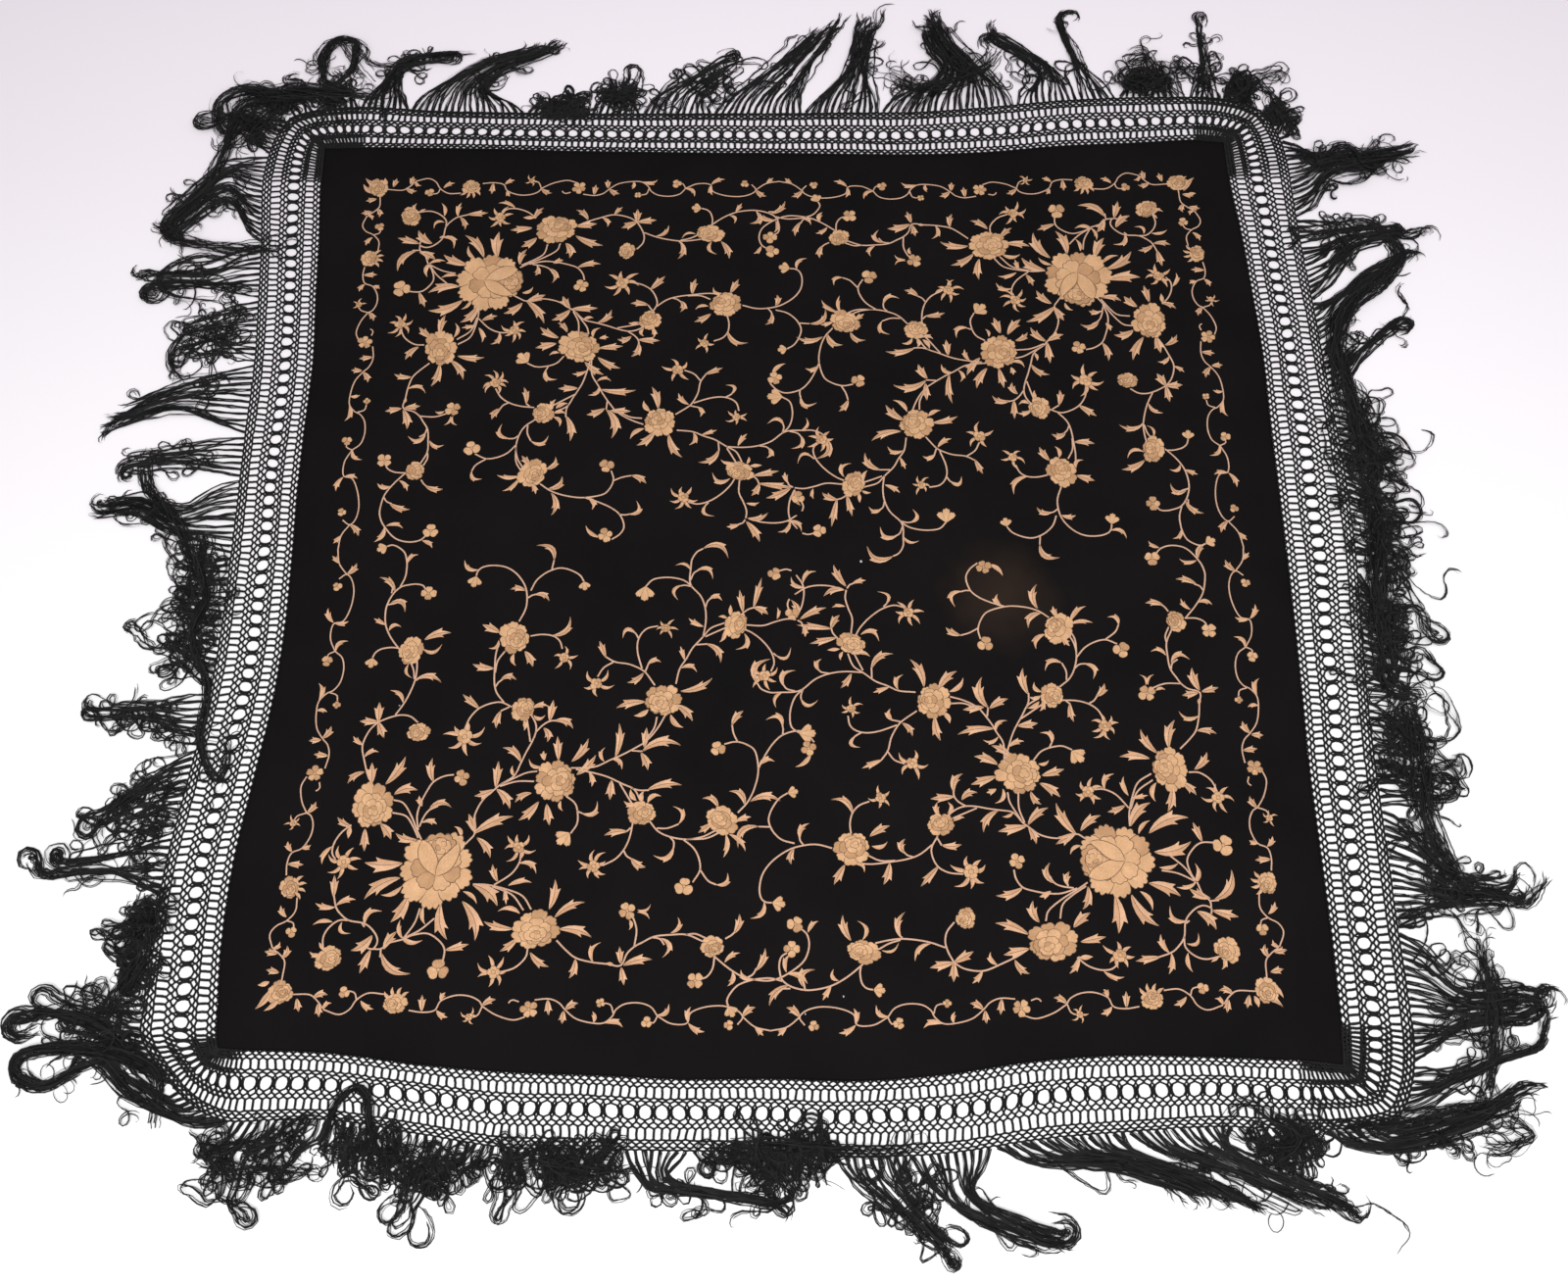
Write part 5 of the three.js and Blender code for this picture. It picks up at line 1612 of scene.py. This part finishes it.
def sew_border(heap, k):
    """The vine along one side, inside the silk's edge: its left half, and the same turned over."""
    side = sides[k]
    places = np.linspace(-fan_start, fan_start, len(side["vine"]))
    for mirror in (1, -1):
        flowers = side["flowers"][:4] if mirror == 1 else side["flowers"][3:][::-1]

        def spot(points):
            points = np.asarray(points, float).reshape(-1, 2)
            along = np.interp(points[:, 0], vine_flowers, flowers)
            along = np.where(points[:, 0] > 0, points[:, 0] * mirror, along)
            away = -np.interp(along, places, side["vine"]) + points[:, 1]
            x, y = turned(along, away, k)
            return np.column_stack([x + border_x, y + border_y])

        for points in vine:
            sew_stalk(heap, spot(points), vine_width)
        for x0, y0, x1, y1, width, bow, points_out in vine_leaves:
            root, tip = spot([(x0, y0), (x1, y1)])
            if mirror == -1:
                points_out = swapped_points[points_out]
            sew_leaf(heap, root, tip, leaf_slimness * width, bow * mirror, points_out)
        for x, y, reach, count in vine_blossoms:
            sew_blossom(heap, spot((x, y))[0], reach, count, rng.uniform(0, 6))
        sew_border_flowers(heap, k, spot)


def sew_border_flowers(heap, k, spot):
    """The border's rose with its leaves, and the blossom and the bud that follow it."""
    rose_x, second_x = vine_flowers[1:3]
    rose = spot((rose_x, 0))[0]
    for degrees in rose_leaf_turns:
        angle = math.radians(degrees) + k * math.pi / 2
        way = np.array([math.cos(angle), math.sin(angle)])
        root = rose + rose_leaf_start * way
        sew_leaf(heap, root, root + rose_leaf_length * way, 4, 0.1, 0)
    wide, high, outer = border_rose
    sew_rose(heap, rose, wide, high, k * math.pi / 2, outer)
    sew_blossom(heap, spot((second_x, 0))[0], *border_blossom, rng.uniform(0, 6))
    x, y, reach, count = border_bud
    sew_bud(heap, spot((x, y))[0], reach, count, rng.uniform(0, 6))


def sew_corner(heap, k):
    """The small leaves that point out of the border's corner."""
    middle = np.array([border_x, border_y])
    for x0, y0, x1, y1, width in corner_leaves:
        sew_leaf(heap, middle + turned(x0, y0, k), middle + turned(x1, y1, k), width, 0.05, 0)


def make_embroidery(quarter):
    """A quarter of the embroidery, with the side of its border."""
    heap = Heap()
    sew_quarter(heap, quarter)
    sew_border(heap, quarter)
    sew_corner(heap, quarter)
    return heap.piece("embroidery_" + sides[quarter]["name"], stitches)


def fan_columns(k, places):
    """How the cells of a fan lie: even along the net's outer edge."""
    gone = gone_along(on_line(net_lines[k], places))
    return gone / gone[-1], max(3, round(gone[-1] / fan_pitch))


def band_columns(k):
    """The columns of a band's net, numbered through both fans: their numbers, their places along the
    band, how many the first fan holds and how many there are in all."""
    before = np.linspace(-fan_end, -fan_start, fan_steps)
    after = -before[::-1]
    first, first_count = fan_columns(k, before)
    last, last_count = fan_columns(k, after)
    numbers = np.concatenate([first * first_count, first_count + cells + last * last_count])
    return numbers, np.concatenate([before, after]), first_count, first_count + cells + last_count


def column_at(k, cell):
    """The place along a band of a column of its net."""
    numbers, places = net_columns[k][:2]
    return np.interp(cell, numbers, places)


def net_spot(k, cell, share):
    """A place on the net, which wavers a little along its rows."""
    along = column_at(k, cell)
    inside = 4 * share * (1 - share)
    long_waves = 1.1 * np.sin(along / 41 + 7 * share + k)
    short_waves = 0.8 * np.sin(along / 17 + 11 * share)
    lift = inside * 0.008 * np.sin(along / 29 + 2 * k)
    return on_band(k, along + inside * (long_waves + short_waves), share + lift)


def make_net(k):
    """A band of knotted cord: rows of small gaps, two rows of upright ones and one of long ones."""
    heap = Heap()
    rows = knot_lines(heap, k)
    radius = cord_radius * cord_weights[k]
    for row, ((_, start), (end, _)) in enumerate(zip(rows, rows[1:])):
        step = knot_rows[row + 1][1] - knot_rows[row][1]
        if row == long_row:
            net_bundles(heap, k, start, end)
        elif step == 0:
            for a, b in zip(start, end):
                middle = (a + b) / 2 + noise.normal(0, knot_shake, 2)
                cord(heap, [a, middle, b], wall_radius * cord_weights[k], 4)
        else:
            for i in range(len(start)):
                thick = radius * gathered(k, i, knot_rows[row][0])
                for j in (i, i + (1 if step < 0 else -1)):
                    if 0 <= j < len(end):
                        cord(heap, [start[i], end[j]], thick, 3)
    return heap.piece("net_" + sides[k]["name"], [cord_material])


def knot_lines(heap, k):
    """Tie each row's knots. For each row: the places of its knots' upper and lower ends."""
    whole = net_columns[k][3]
    rows = []
    for row, (share, phase) in enumerate(knot_rows):
        cell = np.arange(whole + (phase == 0)) + phase
        inner = 0 < row < len(knot_rows) - 1
        shake = noise.normal(0, knot_shake * inner, (len(cell), 2))
        half = knot_half * (row > 0)
        top = net_spot(k, cell, share - half) + shake
        bottom = net_spot(k, cell, share + half) + shake
        rows.append((top, bottom))
        if row:
            for start, end in zip(top, bottom):
                tie_knot(heap, start, end)
    return rows


def gathered(k, cell, share):
    """How much thicker a cord is, where a corner's fan draws the net together."""
    first = net_columns[k][2]
    into = max(first - cell, cell - first - cells, 0)
    return 1 + fan_thickness * min(1, 0.4 * into) * (1 - fan_thinning * share)


def cord(heap, spots, radius, corners_round):
    """A cord of the net, level over the floor and clear of it."""
    under = radius * (0.5 if corners_round == 3 else 1.0)
    heights = np.full((len(spots), 1), max(net_height, under + lowest))
    tube(heap, np.hstack([spots, heights]), radius, corners_round)


def net_bundles(heap, k, start, end):
    """The strands beside the long gaps, drawn together in fours at every second knot."""
    first = knot_rows[long_row][0]
    last = knot_rows[long_row + 1][0]
    shares = first + (last - first) * np.array(bundle_shares)
    for i in range(len(start)):
        odd = i % 2
        for way in (-1, 1):
            outward = -way if odd else way
            wide = outward * bundle_wide[odd]
            apart = outward * bundle_apart[odd]
            strand_cells = i + way * odd + np.array([wide, apart, apart, wide])
            inside = net_spot(k, strand_cells, shares)
            strand = np.concatenate([start[i:i + 1], inside, end[i:i + 1]])
            cord(heap, strand, cord_radius * cord_weights[k], 3)


# A knot's points: left, right, upper, lower, first end and last end.
knot_faces = [(4, 1, 2), (1, 5, 2), (5, 0, 2), (0, 4, 2), (1, 4, 3), (5, 1, 3), (0, 5, 3), (4, 0, 3)]


def tie_knot(heap, start, end):
    """A knot: a short spindle of eight faces, drawn out along the strands."""
    run = (end - start) / max(np.linalg.norm(end - start), 0.1)
    left = np.array([-run[1], run[0]]) * knot_radius
    middle = (start + end) / 2
    tail = run * knot_tail
    flat = [middle + left, middle - left, middle, middle, start - tail, end + tail]
    high = net_height + knot_radius * np.array([0, 0, 0.8, -0.7, 0, 0])
    points = np.column_stack([flat, high])
    heap.add(points, points[:, :2] - middle, knot_faces)


def tuft_line(k, tuft, share):
    """The way out of one place across a tuft: from the net's edge along the tuft's middle."""
    start, end, _, path = tuft
    points = [on_line(net_lines[k], start + (end - start) * share)]
    before = ((start + end) / 2, tuft_root)
    for (along, out, wide), after in zip(path, path[1:] + path[-1:]):
        run = np.array([after[0] - before[0], after[1] - before[1]], float)
        run /= np.linalg.norm(run)
        across = np.array([-1.0, 0.0]) if wide > wide_tuft else np.array([-run[1], run[0]])
        spot = np.array([along, out]) + (0.5 - share) * wide * tuft_fill * across
        points.append(place(sides[k], *spot))
        before = (along, out)
    return points


def make_fringe(k):
    """The fringe of one side: from every knot a lock of threads, gathered in ropes as they fell."""
    heap = Heap()
    name = sides[k]["name"]
    ropes = {}
    for root in column_at(k, np.arange(1, net_columns[k][3])):
        gaps = [max(start - root, root - end, 0) for start, end, _, _ in tufts[name]]
        number = int(np.argmin(gaps))
        tuft = tufts[name][number]
        start, end, high, path = tuft
        share = min(max((root - start) / (end - start), 0.02), 0.98)
        groups = max(1, round((end - start) / rope_apart))
        group = math.floor(share * groups)
        if (number, group) not in ropes:
            ropes[number, group] = gather_rope(k, tuft, (group + 0.5) / groups)
        points = tuft_line(k, tuft, share)
        points[0] = on_line(net_lines[k], root)
        hang = np.array(turned(rng.uniform(-3, 3), -rng.uniform(6, 13), k))
        if np.linalg.norm(points[1] - points[0]) > 30:
            points.insert(1, points[0] + root_hang * (points[1] - points[0]) + hang)
        fringe_lock(heap, curve(points, fringe_step), ropes[number, group], path[-1][2], high)
    for count, spread, points in strays[name]:
        line = curve([place(sides[k], along, out) for along, out in points], fringe_step / 2)
        for _ in range(count):
            loose_thread(heap, line, spread)
    return heap.piece("fringe_" + name, [fringe_material])


def gather_rope(k, tuft, share):
    """The way on which neighbouring locks gather: along the tuft, then in slow folds."""
    points = tuft_line(k, tuft, share)
    wide = tuft[-1][-1][2]
    if wide <= wide_tuft:
        middle = tuft_line(k, tuft, 0.5)
        points[1:] = [a + (b - a) * rope_pull for a, b in zip(points[1:], middle[1:])]
    line = curve(points, fringe_step)
    count = min(len(line), round(rope_share * fringe_length / fringe_step))
    way = line[:count]
    rest = fringe_length - count * fringe_step
    folds = walk(way[-1], way[-1] - way[-2], rest, line[-1], wide * 0.18 + 6, rope_bend, rope_turning)
    return np.concatenate([way, folds])


def in_rope(line, rope, wide):
    """A strand that leaves its knot on its own, joins the rope and winds round it to its end."""
    count = round(len(rope) * rng.uniform(*rope_lengths))
    own = np.concatenate([line, np.repeat(line[-1:], max(0, count - len(line)), axis=0)])[:count]
    steps = np.arange(count)
    joined = min(len(line), len(rope)) * rng.uniform(*rope_joins)
    t = np.clip(steps / joined, 0, 1)[:, None]
    into = t * t * (3 - 2 * t)
    flat = own * (1 - into) + rope[:count] * into
    winding = rng.uniform(0, 6.3) + steps * rng.uniform(*rope_windings)
    out = min(rope_radius + rope_spread * wide, rope_most) * math.sqrt(rng.uniform(0.05, 1.0))
    out = out * (0.6 + 0.7 * steps / count)
    stray = rng.uniform(-1, 1) * rope_end * np.clip((steps / count - 0.75) / 0.25, 0, 1) ** 2
    flat = flat + ways(flat)[1] * (out * np.cos(winding) + stray)[:, None] * into
    flat[1:-1] = flat[1:-1] / 2 + flat[:-2] / 4 + flat[2:] / 4
    return flat + noise.normal(0, 0.5, flat.shape)


def on_its_own(line, wide):
    """A strand that curls as it likes past its way along the tuft."""
    count = max(3, round(len(line) * rng.uniform(*strand_lengths)))
    count = min(count, len(line), round(strand_most * fringe_length / fringe_step))
    way = line[:count]
    t = np.linspace(0, 1, count)[:, None]
    way = way + ways(way)[1] * rng.uniform(-3.5, 3.5) * t
    way = way + noise.normal(0, 0.8, (count, 2)) * np.minimum(1, t * 6)
    middle = line[max(1, min(count, len(line) - 2) - 1)] + noise.normal(0, 5, 2)
    rest = fringe_length * rng.uniform(0.85, 1.1) - count * fringe_step
    curls = walk(way[-1], way[-1] - way[-2], rest, middle, wide * 0.15 + 3, 1.0, strand_turning)
    return np.concatenate([way, curls])


def fringe_lock(heap, line, rope, wide, high):
    """The strands of one knot: most join the rope of their neighbours, the others curl on their own."""
    heaped = np.clip((long_tuft - len(line) * fringe_step) / (long_tuft - short_tuft), 0, 1)
    loose = loose_share + (heap_share - loose_share) * heaped
    for strand in range(strands_a_knot):
        apart = (strand - (strands_a_knot - 1) / 2) * strand_apart
        flat = on_its_own(line, wide) if rng.random() < loose else in_rope(line, rope, wide)
        level = rng.uniform(0.1, 1.0) * (high - tuft_clearance)
        gone = np.linspace(0, 1, len(flat))
        waves = 0.75 + 0.25 * np.sin(gone * rng.uniform(6, 14) + rng.uniform(0, 6))
        arch = np.sin(np.pi * (0.04 + 0.92 * gone)) ** 0.7
        height = thread_base + level * waves * arch
        left = ways(flat)[1]
        for thread in range(threads_a_strand):
            last = round(len(flat) * rng.uniform(*thread_lengths))
            sway = np.sin(gone * rng.uniform(5, 13) + rng.uniform(0, 6)) * (0.6 + 1.6 * gone)
            sway = sway + (thread - 1) * thread_apart + apart * (1 - gone)
            one = flat + left * sway[:, None] + noise.normal(0, 0.3, flat.shape)
            ribbon(heap, np.column_stack([one, height + thread_rise * thread])[:last])


def walk(start, way, length, middle, reach, tight, turning):
    """A thread's curls: it bends one way, then the other, and turns back when it strays too far."""
    x, y = start
    heading = math.atan2(way[1], way[0])
    hand = rng.choice((-1, 1))
    bend = tight * curl_bend * rng.uniform(*first_bends)
    least, over, most = homing
    spots = []
    for _ in range(max(3, round(length / curl_step))):
        if rng.random() < turning * curl_bend:
            hand = -hand
            bend = tight * curl_bend * rng.uniform(*later_bends)
        heading += hand * bend
        away = math.hypot(middle[0] - x, middle[1] - y)
        if away > reach:
            home = math.atan2(middle[1] - y, middle[0] - x)
            pull = min(most, least + (away - reach) / over)
            heading += tight * curl_bend * pull * math.sin(home - heading)
        x += curl_step * math.cos(heading)
        y += curl_step * math.sin(heading)
        spots.append((x, y))
    return np.array(spots)


def loose_thread(heap, line, spread):
    """A thread of a strayed bunch, part of its way or all of it."""
    first = rng.randrange(max(1, len(line) // 4))
    last = len(line) - rng.randrange(max(1, len(line) // 4))
    way = line[first:last]
    t = np.linspace(0, 1, len(way))[:, None]
    apart = rng.uniform(-0.5, 0.5) + 0.3 * np.sin(t * rng.uniform(3, 12) + rng.uniform(0, 6))
    flat = way + ways(way)[1] * apart * spread + noise.normal(0, 0.6, way.shape)
    if rng.random() < 0.5:
        length = rng.uniform(20, 60)
        curls = walk(flat[-1], flat[-1] - flat[-2], length, flat[-1], spread + 12, 1.0, strand_turning)
        flat = np.concatenate([flat, curls])
    height = 1.0 + rng.uniform(0.2, 1.0) * min(spread, 9) * np.sin(np.linspace(0.3, 2.9, len(flat)))
    ribbon(heap, np.column_stack([flat, height]))


def ribbon(heap, line):
    """A thread of the fringe: a narrow strip that slowly twists and ends in a point."""
    count = len(line)
    twist = rng.uniform(0, 6) + np.linspace(0, rng.uniform(2, 8), count)
    lean = 0.9 * np.sin(twist)
    half = np.full(count, fringe_radius * noise.uniform(0.8, 1.25))
    half[-1] = 0.1
    flat = ways(line)[1] * (half * np.cos(lean))[:, None]
    rise = (half * np.sin(lean))[:, None]
    across = np.hstack([flat, rise])
    points = np.stack([line - across, line + across], axis=1)
    points[..., 2] = np.maximum(points[..., 2], thread_lowest)
    length = np.repeat(np.arange(count)[:, None] * curl_step, 2, axis=1)
    threads = np.stack([length, np.broadcast_to(np.array([0.0, 1.0]), length.shape)], axis=-1)
    heap.add(points, threads, sheet_faces(count, 2)[:, ::-1])


def make_lint():
    """A few pale specks of dust on the silk."""
    heap = Heap()
    angles = np.linspace(0, 2 * np.pi, 8)[None, :]
    share = np.array([0.05, 0.6, 1.0])[:, None]
    circle = np.stack([np.cos(angles) * share, np.sin(angles) * share], axis=-1)
    for x, y, radius in specks:
        x += border_x
        y += border_y
        for _ in range(3):
            middle = np.array([x + rng.uniform(-0.5, 0.5), y + rng.uniform(-0.5, 0.5)])
            size = radius * rng.uniform(0.6, 1.0)
            points = circle * size + middle
            height = np.broadcast_to(0.05 + size * 0.7 * (1 - share**2), points.shape[:2])
            heap.add(lay(points, height), points - middle, sheet_faces(3, 8)[:, ::-1])
    return heap.piece("lint", [lint_material()])


def make_stage():
    """A plain pale floor and soft studio light from above."""
    mesh = bpy.data.meshes.new("floor")
    spots = [(floor_size * x, floor_size * y, 0) for x, y in ((-1, -1), (1, -1), (1, 1), (-1, 1))]
    mesh.from_pydata(spots, [], [(0, 1, 2, 3)])
    mesh.materials.append(floor_material())
    show("floor", mesh)
    world = bpy.data.worlds.new("studio")
    world.use_nodes = True
    sky = world.node_tree.nodes["Background"]
    sky.inputs["Color"].default_value = sky_colour
    sky.inputs["Strength"].default_value = sky_strength
    bpy.context.scene.world = world
    for name, spot, size, power in lamps:
        lamp = bpy.data.lights.new(name, "AREA")
        lamp.shape = "SQUARE"
        lamp.size = size
        lamp.energy = power
        thing = show(name, lamp)
        thing.location = spot
        thing.rotation_euler = (-Vector(spot)).to_track_quat("-Z", "Y").to_euler()


def make_camera():
    """The camera stands at the front and looks down on the shawl, as in the photograph."""
    lens = bpy.data.cameras.new("camera")
    lens.sensor_fit = "HORIZONTAL"
    lens.sensor_width = 36
    lens.lens = camera_lens
    lens.shift_x = camera_shift
    lens.clip_start = 0.05
    lens.clip_end = 50
    camera = show("camera", lens)
    camera.location = in_scene(*camera_place)
    fall, turn, roll = (math.radians(degrees) for degrees in camera_turn)
    tilted = Matrix.Rotation(turn, 3, "Z") @ Matrix.Rotation(math.pi / 2 + fall, 3, "X")
    camera.rotation_euler = (tilted @ Matrix.Rotation(roll, 3, "Z")).to_euler()
    bpy.context.scene.camera = camera


bpy.context.scene.view_settings.view_transform = "Standard"
make_camera()
make_stage()
silk = make_silk()
hem = make_hem()
stitches = [stitch_material(*finish) for finish in stitch_finishes]
embroidery = [make_embroidery(k) for k in range(4)]
lint = make_lint()
net_columns = [band_columns(k) for k in range(4)]
cord_material = thread_material("net_cord", *net_colours, net_twist)
fringe_material = thread_material("fringe_silk", *fringe_colours, fringe_twist)
nets = [make_net(k) for k in range(4)]
fringes = [make_fringe(k) for k in range(4)]

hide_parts("cloth")
for k, side in enumerate(sides):
    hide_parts("net_" + side["name"])
    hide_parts("fringe_" + side["name"])
